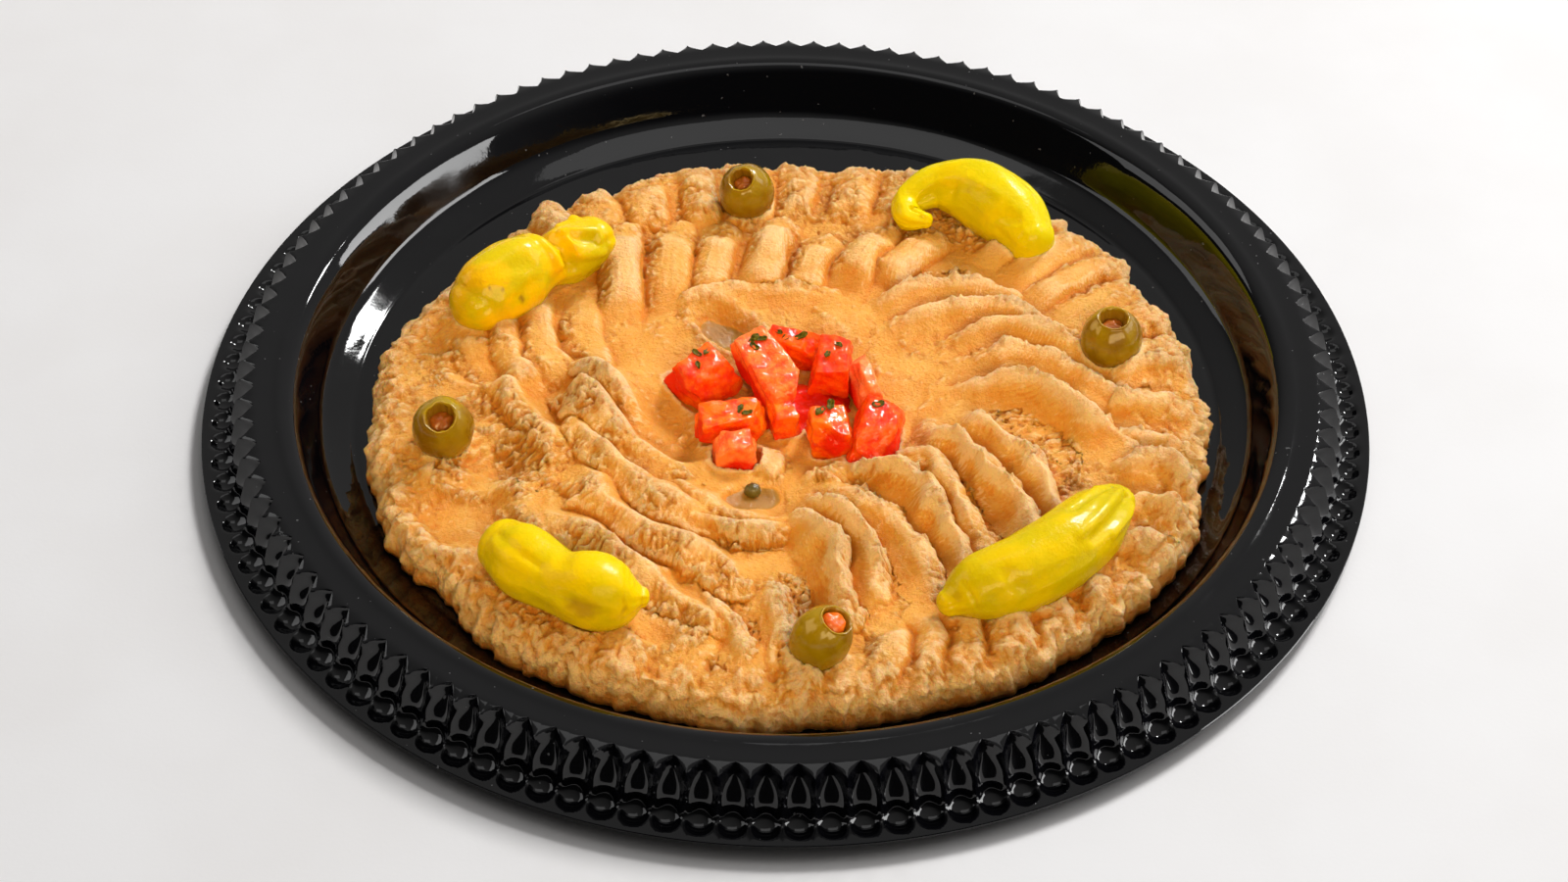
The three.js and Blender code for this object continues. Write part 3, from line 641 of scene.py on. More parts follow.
for share, tint in (
        (spread(roughened, 0.5, 1.3, 0.0, 0.5), (0.85, 0.38, 0.055)),  # torn paste
        (spread(sunk_mm, -0.4, 2.4, 0.0, 0.75), (0.72, 0.27, 0.02)),  # painted shade in low places
        (spread(sunk_mm, -0.2, -2.4, 0.0, 0.7), (0.92, 0.63, 0.32)),  # painted light on crests and down the side
        (spread(crease_mm, 0.03, 0.5, 0.0, 0.75), (0.74, 0.235, 0.009)),  # painted shade in creases between curds
        (spread(crease_mm, -0.06, -0.4, 0.0, 0.65), (0.95, 0.68, 0.37)),  # painted light on tops of curds
        (flecked, (0.72, 0.225, 0.012)),  # flecks of red pepper
        (spread(grain, 0.58, 0.72, 0.0, 0.4), (0.86, 0.60, 0.30)),  # pale grains of chickpea
        (spread(grain, 0.42, 0.30, 0.0, 0.3), (0.62, 0.20, 0.012)),  # dark grains
        (spread(wet_mask, 0.5, 1), (0.35, 0.17, 0.022))):  # under the juice: darker as wet paste, and darker still as painted shade
    colour = blend(share, colour, tint)
roughness = spread(patches, 0.3, 0.7, 0.36, 0.5)
coarse = bump(math_of("MULTIPLY", spread(torn_mask, 0, 1, 0.5, 1), fine_lumps), 0.8)
dry_grain = math_of("MULTIPLY", spread(wet_mask, 0, 1, 1, 0), grain)
feed(shader, {
    "Base Color": colour,
    "Roughness": math_of("MULTIPLY", roughness, spread(wet_mask, 0, 1, 1, 0.2)),
    "Normal": bump(dry_grain, 0.62, coarse),
})


def give(piece, attribute, values):
    """Gives a piece a number at each of its points, for its material."""
    layer = piece.data.attributes.new(attribute, "FLOAT", "POINT")
    layer.data.foreach_set("value", np.asarray(values, np.float32).ravel())


hummus = make_piece(
    "hummus_spread", np.concatenate(hummus_surface), stitch(hummus_surface), paste,
    "hummus_spread", "hummus")
for name, values in (("torn", torn), ("sunk", sunk), ("crease", crease), ("wet", wet)):
    give(hummus, name, [*values[:1], *values, *np.zeros(under_columns + 1)])

# ---------------------------------------------------------------------------------- pepperoncini
# Whole pickled yellow peppers, limp and wet. Each is a thin-skinned pod that has folded and dented
# where it gave way, with a round blossom end and a stalk end that draws in to a small nub.

pod_columns, pod_rings, cap_rings = 64, 90, 16
cap_length = 0.8  # how far an end bulges, as a share of the radius there
# Each pod: points along its middle and its radius at each, how three-sided it is, how glossy, its
# skin's two colours, and its marks, brown spots and painted shade. A mark runs from a share of the
# length and an angle to another, and has a half width and a height, negative for a crease. A spot has
# a share, an angle, a half width and a strength; a broad weak one is painted shade. Angle 90 is on top.
pods = [
    dict(spine=[(-82.5, 19.5, 18), (-79, 23.5, 19.5), (-71, 31, 20.5), (-64.5, 36, 20),
                (-59, 40.5, 19), (-52.5, 46, 18.5)],
         radii=[7.6, 9.8, 9.8, 7.0, 8.0, 7.2], three_sided=0.05, gloss=0.28,
         ripe=(0.81, 0.51, 0.0005), green=(0.58, 0.47, 0.0005),
         marks=[(0.60, 150, 0.70, 10, 3.2, -2.6), (0.50, 140, 0.60, 20, 2.4, 1.0),
                (0.72, 95, 0.97, 62, 1.5, 1.0), (0.78, 66, 0.97, 34, 2.2, -1.2),
                (0.74, 30, 0.96, 8, 1.6, 0.8), (0.80, 130, 0.95, 125, 1.8, 0.8),
                (0.96, 40, 0.96, 40, 2.0, 1.3), (0.93, 130, 0.93, 130, 2.0, 1.0),
                (0.30, 60, 0.36, 50, 3.0, -0.5)],
         # The first, broad spot is painted shade on the left end; the others are brown marks.
         spots=[(0.03, 110, 9.0, 0.26), (0.03, 100, 1.6, 0.5), (0.14, 55, 0.7, 0.8),
                (0.20, 40, 0.6, 0.7), (0.27, 8, 0.9, 1.0), (0.12, 75, 0.5, 0.5)]),
    dict(spine=[(66.5, 49, 17.5), (61.5, 58, 19), (51.5, 67.5, 19.5), (41, 70, 19),
                (33.6, 65.5, 17.6), (33, 59.5, 17), (38, 57.2, 17.4)],
         radii=[6.4, 9.2, 9.3, 6.2, 4.4, 3.6, 2.2], three_sided=0.03, gloss=0.14,
         ripe=(0.75, 0.60, 0.0002), green=(0.62, 0.53, 0.0002),
         marks=[(0.40, 150, 0.72, 160, 2.4, -0.9), (0.20, 120, 0.60, 128, 1.6, 0.35),
                (0.84, 110, 0.97, 100, 1.2, -0.9), (0.06, 120, 0.14, 150, 2.5, -0.7),
                (0.98, 90, 0.98, 90, 1.6, 0.6), (0.15, 70, 0.45, 85, 2.0, 0.3)],
         spots=[(0.30, 140, 1.0, 0.25), (0.90, 150, 1.2, 0.4)]),
    dict(spine=[(-68.5, -70, 18), (-62.5, -76.5, 19), (-54.5, -82.5, 19.5),
                (-45.5, -87, 20.5), (-38.5, -88, 19.6), (-34.2, -88, 19.4)],
         radii=[7.0, 9.0, 8.1, 9.6, 7.4, 2.3], three_sided=0.03, gloss=0.07,
         ripe=(0.72, 0.53, 0.0002), green=(0.60, 0.48, 0.0002),
         marks=[(0.06, 70, 0.36, 60, 1.4, -0.5), (0.05, 50, 0.34, 38, 2.0, 0.35),
                (0.40, 140, 0.47, 80, 3.2, -0.6), (0.80, 40, 0.84, 10, 1.0, -0.7),
                (0.78, 95, 0.86, 80, 1.6, -0.5), (0.55, 20, 0.66, 10, 3.5, -0.6)],
         spots=[(0.60, 14, 3.6, 0.55), (0.82, 16, 1.2, 0.4)]),
    dict(spine=[(39.5, -87, 17), (46.5, -83.5, 18.5), (58, -78.5, 19.5),
                (70, -68.5, 19.5), (78, -58.5, 18.5), (82.5, -52, 17.5)],
         radii=[3.4, 7.9, 9.4, 9.6, 8.0, 4.8], three_sided=0.03, gloss=0.19,
         ripe=(0.65, 0.49, 0.0002), green=(0.54, 0.44, 0.0002),
         marks=[(0.56, 60, 0.97, 78, 1.4, 1.1), (0.60, 42, 0.97, 54, 1.6, -1.5),
                (0.62, 100, 0.96, 102, 1.3, -1.2), (0.68, 25, 0.95, 28, 1.4, 1.0),
                (0.12, 80, 0.13, 10, 0.9, -0.6), (0.30, 60, 0.34, 20, 2.2, -0.5),
                (0.85, 125, 0.98, 120, 1.2, 0.5)],
         spots=[(0.05, 60, 2.0, 0.3), (0.66, 64, 0.9, 0.3)]),
]


def through(values, shares):
    """A smooth curve through evenly spaced values (Catmull-Rom), at shares from 0 to 1."""
    values = np.array(values, float)
    padded = np.concatenate([2 * values[:1] - values[1:2], values, 2 * values[-1:] - values[-2:-1]])
    at = np.clip(shares * (len(values) - 1), 0, len(values) - 1 - 1e-9)
    k = at.astype(int)
    t = (at - k).reshape(-1, *[1] * (values.ndim - 1))
    a, b, c, d = (padded[k + i] for i in range(4))
    return b + 0.5 * t * (c - a + t * (2 * a - 5 * b + 4 * c - d + t * (3 * (b - c) + d - a)))


def unit(vectors):
    """The same directions, each 1 long."""
    return vectors / np.linalg.norm(vectors, axis=-1, keepdims=True)


def pod_surface(pod, seed):
    """Rings of points round a pod from end to end, and how far brown marks and painted shade darken the skin
    at each point.
    """
    shares = np.concatenate([np.zeros(cap_rings), np.linspace(0, 1, pod_rings), np.ones(cap_rings)])
    lift = np.concatenate([np.linspace(1, 0, cap_rings, endpoint=False), np.zeros(pod_rings),
                           np.linspace(0, 1, cap_rings + 1)[1:]])
    lift = np.sin(math.pi / 2 * lift)
    middle = through(pod["spine"], shares)
    before, after = (through(pod["spine"], np.clip(shares + step, 0, 1)) for step in (-0.01, 0.01))
    tangent = unit(after - before)
    radius = through(pod["radii"], shares)
    outwards = np.where(np.arange(len(shares)) < cap_rings, -1.0, 1.0)[:, None]
    middle = middle + tangent * outwards * (cap_length * lift * radius)[:, None]
    radius = radius * np.sqrt(np.clip(1 - lift**2, 0, 1)) + 1e-3
    side = unit(np.cross(tangent, (0, 0, 1)))
    up = np.cross(side, tangent)
    angle = 2 * math.pi * np.arange(pod_columns) / pod_columns
    length = np.linalg.norm(np.diff(through(pod["spine"], np.linspace(0, 1, 60)), axis=0), axis=1).sum()
    along = (shares * length)[:, None]
    full = through(pod["radii"], shares)[:, None]
    r = radius[:, None] * (1 + pod["three_sided"] * np.cos(3 * angle + 4 * shares[:, None]))
    fade = np.sqrt(radius[:, None] / full)

    def off_line(s0, a0, s1, a1, half_width):
        """Distance of each point of the skin from a mark's line, in half widths."""
        mean = full[np.searchsorted(shares, 0.5 * (s0 + s1))]
        p = np.array([s0 * length, math.radians(a0) * mean[0]])
        q = np.array([s1 * length, math.radians(a1) * mean[0]])
        wrapped = (angle - math.radians(a0) + math.pi) % (2 * math.pi) - math.pi + math.radians(a0)
        du, dv = along - p[0], wrapped[None, :] * mean[0] - p[1]
        step = q - p
        t = np.clip((du * step[0] + dv * step[1]) / max(step @ step, 1e-6), 0, 1)
        return np.hypot(du - t * step[0], dv - t * step[1]) / half_width

    for *line, height in pod["marks"]:
        q = np.clip(off_line(*line), 0, 1)
        r = r + fade * height * (1 - q**2) ** 2
    around = angle[None, :] * full
    r = r + fade * (0.35 * lumps(along / 9, 3 * np.sin(angle) + 0 * along, 1, seed)
                    + 0.10 * lumps(along / 3 + 0 * around, around / 2.2, 1, seed + 1)
                    + 0.11 * lumps(along / 9, 7 * np.sin(angle) + 0 * along, 1, seed + 2)
                    + 0.06 * lumps(along / 5, 19 * np.sin(angle) + 0 * along, 1, seed + 4))
    brown = np.zeros(r.shape)
    for s, a, half, strength in pod["spots"]:
        q = off_line(s, a, s, a, half) + 0.25 * lumps(along, around, 1.5, seed + 3)
        brown = np.maximum(brown, strength * (1 - ease(0.3, 1.1, q)))
    points = (middle[:, None, :] + side[:, None, :] * (r * np.cos(angle))[..., None]
              + up[:, None, :] * (r * np.sin(angle))[..., None])
    return points, brown


def new_group(name, inputs, outputs):
    """A node group with these inputs and outputs, given as (name, kind) pairs."""
    tree = bpy.data.node_groups.new(name, "ShaderNodeTree")
    for way, sockets in (("INPUT", inputs), ("OUTPUT", outputs)):
        for label, kind in sockets:
            tree.interface.new_socket(label, in_out=way, socket_type=f"NodeSocket{kind}")
    return tree.nodes.new("NodeGroupInput").outputs, tree.nodes.new("NodeGroupOutput"), tree


# Skin of a pickled fruit: ripe and green patches, fine pale dots, brown marks and painted shade, and fine
# relief.
given, out, pickled_skin = new_group(
    "pickled_skin",
    [("Place", "Vector"), ("Ripe", "Color"), ("Green", "Color"), ("Dots", "Color"), ("Brown", "Float")],
    [("Color", "Color"), ("Roughness", "Float"), ("Height", "Float")])
clouds = noise(given["Place"], 11, 3, 0.55)
dots = noise(given["Place"], 0.9, 2, 0.5)
skin = blend(spread(clouds, 0.38, 0.62), given["Ripe"], given["Green"])
skin = blend(spread(dots, 0.60, 0.78, 0.0, 0.25), skin, given["Dots"])
# The brown colour serves both the brown marks and painted shade.
skin = blend(given["Brown"], skin, (0.24, 0.10, 0.012))
film = noise(given["Place"], 5, 3, 0.6)  # of brine
feed(out, {
    "Color": skin,
    "Roughness": spread(film, 0.35, 0.7, 0.2, 0.36),
    "Height": math_of("ADD", dots, film),
})


def pickled_material(name, ripe, green, relief, shader_values):
    """A pickled fruit's material; its brown marks and its painted shade come from the piece's brown numbers.
    """
    material, tree, shader = new_material(name, shader_values)
    dots = (0.8 * value + 0.2 * pale for value, pale in zip(ripe, (1, 0.8, 0.2)))
    made = add(tree, "Group", {
        "Place": place_of(tree), "Ripe": (*ripe, 1), "Green": (*green, 1), "Dots": (*dots, 1),
        "Brown": mask_of(tree, "brown"),
    }, node_tree=pickled_skin).outputs
    feed(shader, {
        "Base Color": made["Color"],
        "Roughness": made["Roughness"],
        "Normal": bump(made["Height"], relief),
    })
    return material


for number, pod in enumerate(pods, 1):
    skin = pickled_material(f"pepper_skin_{number}", pod["ripe"], pod["green"], 0.15, {
        "Subsurface Weight": 0.3, "Subsurface Radius": (1.0, 0.75, 0.05), "Subsurface Scale": 0.003,
        "Specular IOR Level": 0.08, "Coat Weight": pod["gloss"], "Coat Roughness": 0.05,
    })
    points, brown = pod_surface(pod, 200 + 10 * number)
    tips = [points[end].mean(axis=0, keepdims=True) for end in (0, -1)]
    surface = [tips[0], *points[1:-1], tips[1]]
    brown = np.concatenate([brown[0, :1], brown[1:-1].ravel(), brown[-1, :1]])
    piece = make_piece(
        f"pickled_pepper_{number}", np.concatenate(surface), stitch(surface), skin,
        "pepper_skin", f"pepperoncini_{number}")
    give(piece, "brown", brown)

# ---------------------------------------------------------------------------------------- olives
# Green olives in brine, pitted from one end. They stand on the other end, pressed into the paste,
# and a short plug of pimento sits down in each hole.

# Each olive: its middle, radius, half length, hole radius, its lean from upright to the right and to
# the front in degrees, and how far the pimento's top lies below the rim.
olives = [
    dict(at=(-11.2, 68.4, 17.6), radius=7.7, half=9.2, hole=3.0, lean=(-10, 24), down=2.2),
    dict(at=(85.3, 8.9, 17.6), radius=8.1, half=8.8, hole=3.5, lean=(0, 4), down=2.6),
    dict(at=(-87.1, -27.4, 17.6), radius=7.9, half=8.8, hole=3.6, lean=(0, 26), down=3.0),
    dict(at=(8.7, -99.3, 17.2), radius=7.3, half=9.6, hole=3.4, lean=(26, 6), down=0.0),
]
olive_columns, skin_rings, lip_rings, hole_rings = 72, 44, 7, 8
lip, hole_depth = 0.75, 6.8  # rounding of the rim, and depth of the hole
pimento_columns, pimento_length, pimento_gap = 40, 2.8, 0.3
# The plug's rings, from the middle of its top: share of the radius and of the length down.
plug_line = ((0.25, 0.0), (0.5, 0.03), (0.75, 0.12), (0.9, 0.26), (1.0, 0.5), (1.0, 0.97))


def stand(points, olive):
    """Leans an olive's points and puts them in their place."""
    lean_right, lean_front = (math.radians(a) for a in olive["lean"])
    turned = Matrix.Rotation(lean_front, 3, "X") @ Matrix.Rotation(lean_right, 3, "Y")
    return points @ np.array(turned).T + olive["at"]


olive_green = pickled_material("olive_skin", (0.21, 0.105, 0.0005), (0.29, 0.185, 0.001), 0.05, {
    "Subsurface Weight": 0.25, "Subsurface Radius": (1.0, 0.8, 0.2), "Subsurface Scale": 0.002,
    "Specular IOR Level": 0.2, "Coat Weight": 0.5, "Coat Roughness": 0.05,
})
pimento_red = pickled_material("pimento_flesh", (0.80, 0.17, 0.004), (0.60, 0.10, 0.003), 0.12, {
    "Subsurface Weight": 0.3, "Subsurface Radius": (1.0, 0.3, 0.1), "Subsurface Scale": 0.002,
    "Coat Weight": 0.15, "Coat Roughness": 0.12,
})

for number, olive in enumerate(olives, 1):
    radius, half, hole = olive["radius"], olive["half"], olive["hole"]
    rim = half * math.sqrt(1 - (hole / radius) ** 2)
    steep = np.radians(np.linspace(-90, math.degrees(math.asin(rim / half)) - 5, skin_rings))
    line = [(radius * math.cos(a), half * math.sin(a)) for a in steep]
    line += [(hole + lip * (1 - math.sin(a)), rim - lip * (1 - math.cos(a)))
             for a in np.linspace(0.1, math.pi / 2, lip_rings)]
    line += [(hole * (1 - 0.05 * k), rim - lip - k * (hole_depth - lip) / hole_rings)
             for k in range(1, hole_rings + 1)]
    line += [(0.0, rim - hole_depth)]
    turn = 2 * math.pi * np.arange(olive_columns) / olive_columns
    surface = []
    for step, (r, z) in enumerate(line):
        count = 1 if r < 1e-6 else olive_columns
        t = turn[:count]
        seed = 500 + 10 * number
        inner = ease(skin_rings, skin_rings + 6, step)
        bulge = (1 - 0.6 * inner) * (
            0.30 * lumps(2 * np.cos(t) + z / 9, 2 * np.sin(t) - z / 9, 1.0, seed)
            + 0.07 * lumps(7 * np.cos(t) + z / 3, 7 * np.sin(t) + z / 4, 1.0, seed + 1))
        ragged = 0.28 * inner * lumps(3 * np.cos(t), 3 * np.sin(t) + step / 6, 1.0, seed + 2)
        wide = max(r, 0) + (bulge + ragged) * (r > 0.1)
        surface.append(np.stack([wide * np.cos(t), wide * np.sin(t), z + 0.3 * bulge], axis=1))
    # Painted shade: the skin is made browner going down into the hole, as if shade fell there.
    inside_hole = np.concatenate(
        [np.full(len(r), ease(skin_rings + 3, skin_rings + 8, k)) for k, r in enumerate(surface)])
    piece = make_piece(
        f"green_olive_{number}", stand(np.concatenate(surface), olive), stitch(surface), olive_green,
        "olive_skin", f"olive_{number}")
    give(piece, "brown", 0.55 * inside_hole)

    top = rim - olive["down"]
    surface = [np.array([[0, 0, top]])]
    for share, drop in plug_line:
        ring_points = ring(pimento_columns, (hole - pimento_gap) * share, top - drop * pimento_length)
        px, py = ring_points[:, 0], ring_points[:, 1]
        ring_points[:, 2] += 0.7 * lumps(px, py, 1.8, 600 + number) * (drop < 0.6)
        ring_points[:, :2] *= (1 + 0.05 * lumps(px, py, 1.5, 610 + number))[:, None]
        surface.append(ring_points)
    surface.append(np.array([[0, 0, top - pimento_length]]))
    piece = make_piece(
        f"pimento_plug_{number}", stand(np.concatenate(surface), olive), stitch(surface), pimento_red,
        "pimento_flesh", f"pimento_{number}")
    # Painted shade: a plug that sits deeper in its hole is painted browner.
    give(piece, "brown", np.full(sum(len(r) for r in surface), 0.65 * ease(0, 2, olive["down"])))

# ---------------------------------------------------------------------------------- tomato dice
# Ripe tomato cut by hand into uneven pieces: wet, translucent flesh on the cut faces, and smooth
# redder skin on one side. They lie in a loose pile in the middle hollow.

# Each die: its middle, its size, its turn about Z and its tip forward and sideways in degrees, how
# much narrower its top is than its base, and the way that its skin faces. Some are deeper red and some
# paler all over, where the thin strip's paleness is a painted sheen. Some have clean cuts, given by
# the way they face and how far out they are.
dice = [
    dict(at=(-4.5, -3, 16.4), size=(24, 12, 8.4), turn=-54, tip=(8, 12),
         taper=0.12, skin=(0, -1, -0.4), pale=0.3),
    dict(at=(11.2, -23.5, 15.2), size=(10.4, 13.4, 10.5), turn=10, tip=(10, -4),
         taper=0.15, skin=(0, -1, 0.2), cuts=[((0.30, -0.08, 0.95), 0.74)]),
    dict(at=(23.4, -24.5, 14.6), size=(11, 20.5, 10.4), turn=-10, tip=(6, 8),
         taper=0.2, skin=(1, -0.3, 0), deep=0.5),
    dict(at=(-21.8, -2, 14.2), size=(14.5, 13.5, 10.2), turn=36, tip=(6, -6),
         taper=0.25, skin=(-1, 0.2, 0), cuts=[((0.30, -0.10, 0.95), 0.92)], deep=0.3),
    dict(at=(12, 0, 15.4), size=(9.5, 16, 10), turn=-6, tip=(-4, 6),
         taper=0.12, skin=(0, 1, 0), deep=0.6),
    dict(at=(1.5, 9, 14.4), size=(17, 8, 9), turn=-10, tip=(14, 0),
         taper=0.3, skin=(0, 1, 0.3), deep=0.25),
    # Painted sheen: this thin strip is made pale all over to stand in for the light's glare on its skin.
    dict(at=(20.4, -4.5, 14), size=(5.6, 17.5, 9.5), turn=16, tip=(0, 12),
         taper=0.2, skin=(-1, 0, -1), pale=0.8),
    dict(at=(-14, -19.5, 13.6), size=(17, 10, 8.6), turn=8, tip=(12, -3),
         taper=0.12, skin=(-1, -0.3, 0)),
    dict(at=(-12.3, -30, 12.8), size=(11.6, 8.4, 9.6), turn=4, tip=(4, 0),
         taper=0.12, skin=(0, -1, -0.5), pale=0.35),
    dict(at=(-0.5, -15.5, 12), size=(7.5, 10, 7.5), turn=15, tip=(0, 0),
         taper=0.1, skin=(0, 0, -1)),
]
squareness = 11  # the higher, the sharper a die's edges
corner_cuts = 4  # slanted cuts of the knife over the corners of each


def die_matrix(die):
    """How a die is turned and tipped."""
    tip_x, tip_y = (math.radians(a) for a in die["tip"])
    return np.array(Matrix.Rotation(math.radians(die["turn"]), 3, "Z")
                    @ Matrix.Rotation(tip_y, 3, "Y") @ Matrix.Rotation(tip_x, 3, "X"))


def cube_grid(cuts):
    """Points on a cube's surface from -1 to 1, and the faces between them."""
    grid = bmesh.new()
    bmesh.ops.create_cube(grid, size=2)
    bmesh.ops.subdivide_edges(grid, edges=grid.edges[:], cuts=cuts, use_grid_fill=True)
    points = np.array([v.co for v in grid.verts])
    faces = [[v.index for v in face.verts] for face in grid.faces]
    grid.free()
    return points, faces


def die_surface(die, seed):
    """A die's points and faces, and the share of skin at each point."""
    points, faces = cube_grid(22)
    half = np.array(die["size"]) / 2
    bent = points + 0.12 * np.sin(points[:, [1, 2, 0]] * 2.1 + seed) * np.array([1, 1, 0.6])
    off_middle = (np.abs(bent) ** squareness).sum(axis=1, keepdims=True) ** (1 / squareness)
    rounded = 1.02 * bent / off_middle
    rounded[:, :2] *= 1 - die["taper"] * rounded[:, 2:3]
    solid = rounded * half
    chance = np.random.default_rng(seed)
    for _ in range(corner_cuts):
        way = unit(chance.normal(size=3) * np.array([1, 1, 0.6]) + np.array([0, 0, 0.25]))
        reach = (solid @ way).max()
        beyond = np.clip(solid @ way - reach * chance.uniform(0.7, 0.88), 0, None)
        solid = solid - beyond[:, None] * way
    for way, share in die.get("cuts", ()):
        way = unit(np.array(way, float)) @ die_matrix(die)
        beyond = np.clip(solid @ way - (solid @ way).max() * share, 0, None)
        solid = solid - beyond[:, None] * way
    normal = unit(rounded / np.maximum(np.abs(rounded).max(axis=1, keepdims=True), 1e-6) ** 6)
    x, y, z = solid.T
    lump = (0.7 * lumps(x + 2 * z, y - z, 5.5, seed) + 0.26 * lumps(x - z, y + z, 2.2, seed + 1)
            + 0.1 * lumps(x + z, y - z, 1.0, seed + 2))
    solid = solid + normal * (lump - 0.25)[:, None]
    skin = ease(0.72, 0.9, unit(rounded) @ unit(np.array(die["skin"], float)) + 0.06 * lump)
    return solid @ die_matrix(die).T + die["at"], faces, skin


tomato, tree, shader = new_material("tomato_flesh", {
    "Subsurface Weight": 0.22, "Subsurface Radius": (1.0, 0.12, 0.01), "Subsurface Scale": 0.003,
    "Specular IOR Level": 0.03, "Coat Roughness": 0.02, "Coat IOR": 1.4,
})
place = place_of(tree)
skin_side, pale_side = mask_of(tree, "skin"), mask_of(tree, "pale")
pulp = noise(place, 4.0, 4, 0.6)
strands = noise(place, 1.1, 3, 0.65)
flesh = blend(spread(pulp, 0.35, 0.65), (0.80, 0.03, 0.0005), (0.97, 0.17, 0.003))
flesh = blend(spread(strands, 0.56, 0.74, 0.0, 0.6), flesh, (1.0, 0.30, 0.03))  # orange strands
# Paler flesh, and on the thin strip a painted sheen.
uneven_pale = math_of("MULTIPLY", pale_side, spread(pulp, 0.35, 0.65, 0.5, 1.4))
flesh = blend(uneven_pale, flesh, (0.97, 0.25, 0.08))
waves = spread(noise(place, 1.6, 2, 0.5), 0, 1, -1, 1)
squiggles = spread(math_of("ABSOLUTE", waves), 0.0, 0.12, 1.0, 0.0)  # small veins in the juice
juice = noise(place, 2.2, 2, 0.5)
feed(shader, {
    "Base Color": blend(skin_side, flesh, (0.70, 0.016, 0.002)),
    "Coat Weight": spread(skin_side, 0, 1, 1.0, 0.4),
    "Roughness": spread(pulp, 0.35, 0.65, 0.12, 0.3),
    "Normal": bump(strands, 0.35, bump(pulp, 0.5)),
    "Coat Normal": bump(squiggles, 0.2, bump(juice, 0.1)),
})

for number, die in enumerate(dice, 1):
    points, faces, skin = die_surface(die, 700 + 10 * number)
    piece = make_piece(f"tomato_die_{number}", points, faces, tomato, "tomato_flesh", f"tomato_{number}")
    give(piece, "skin", np.maximum(skin, die.get("deep", 0.0)))
    give(piece, "pale", np.full(len(points), die.get("pale", 0.0)))

# ---------------------------------------------------------------------------------- tomato jelly
# Soft red jelly and pulp that came out of the tomato as it was cut. It lies between the dice and
# fills the gaps in the pile.

jelly_at, jelly_half = np.array([3.0, -9.0]), np.array([16.0, 11.0])
jelly_top, jelly_foot = 11.6, 7.0
jelly_columns, jelly_rings = 96, 18
surface = [np.array([[*jelly_at, jelly_top]])]
for share in (*np.linspace(0.06, 1, jelly_rings), 1.02):
    points = ring(jelly_columns, share, 0)
    uneven = 1 + 0.16 * lumps(2.2 * points[:, 0], 2.2 * points[:, 1], 1.0, 890)
    points[:, :2] = jelly_at + points[:, :2] * jelly_half * uneven[:, None]
    points[:, 2] = jelly_foot + (jelly_top - jelly_foot) * (1 - min(share, 1) ** 3)
    points[:, 2] += (1.1 * lumps(points[:, 0], points[:, 1], 4.0, 891)
                     + 0.4 * lumps(points[:, 0], points[:, 1], 1.7, 892)) * (share < 1)
    surface.append(points)
surface.append(np.array([[*jelly_at, jelly_foot - 0.5]]))
points = np.concatenate(surface)
piece = make_piece("tomato_jelly", points, stitch(surface), tomato, "tomato_flesh")
give(piece, "skin", np.ones(len(points)))
give(piece, "pale", np.zeros(len(points)))

# ----------------------------------------------------------------------------------------- herbs
# Dried herb, crumbled over the tomato while it was wet. The thin, curled flakes of leaf stick to the
# juice on top of the dice.

# Each flake: its die, counted from 0, its place on the die's top, from -1 to 1 both ways, and its turn.
flakes = [
    (3, -0.3, -0.1, 70), (3, 0.55, 0.35, 20), (0, -0.85, 0.5, 60), (0, -0.7, -0.1, 10),
    (5, 0.45, 0.1, 30), (5, -0.55, 0.2, -20), (7, 0.45, 0.15, 60), (1, -0.5, 0.4, 40),
    (4, -0.5, -0.35, 80), (2, -0.35, 0.7, 30), (3, 0.1, 0.6, 110), (0, -0.95, 0.2, 100),
    (5, -0.2, -0.3, 45), (4, 0.2, 0.5, 150), (7, 0.7, -0.3, 15), (1, 0.3, 0.7, 75),
]
flake_half = (1.5, 0.8)
flake_reach = 0.7  # the part of a die's top where flakes lie
flake_thick, flake_points = 0.24, 7  # points along each side of a flake


def flake_surface(die, u, v, turn, seed):
    """A small leaf piece as a closed sheet, curled along its length."""
    chance = np.random.default_rng(seed)
    count = flake_points
    steps = np.linspace(-1, 1, count)
    across, along = (grid.ravel() for grid in np.meshgrid(steps, steps))
    leaf_x = flake_half[0] * chance.uniform(0.7, 1.3) * along
    leaf_y = flake_half[1] * chance.uniform(0.7, 1.2) * across * np.sqrt(np.clip(1.15 - along**2, 0, None))
    leaf_y = leaf_y * (1 + 0.2 * np.sin(5 * along + seed))
    curl = 0.35 * across**2 + 0.25 * np.sin(2.5 * along + seed)
    angle = math.radians(turn)
    flat_x = leaf_x * math.cos(angle) - leaf_y * math.sin(angle)
    flat_y = leaf_x * math.sin(angle) + leaf_y * math.cos(angle)
    half = np.array(die["size"]) / 2
    base = np.array([u * half[0] * flake_reach, v * half[1] * flake_reach, half[2] - 0.1])
    sheets = [np.stack([flat_x, flat_y, curl + side], axis=1) + base
              for side in (flake_thick / 2, -flake_thick / 2)]
    faces = []
    for row in range(count - 1):
        for column in range(count - 1):
            a = row * count + column
            faces.append((a, a + 1, a + count + 1, a + count))
            faces.append(tuple(count**2 + k for k in (a, a + count, a + count + 1, a + 1)))
    index = np.arange(count**2).reshape(count, count)
    edge = [*index[0], *index[1:, -1], *index[-1, -2::-1], *index[-2:0:-1, 0]]
    edge = [int(k) for k in edge]
    for p, q in zip(edge, edge[1:] + edge[:1]):
        faces.append((q, p, p + count**2, q + count**2))
    return np.concatenate(sheets) @ die_matrix(die).T + die["at"], faces


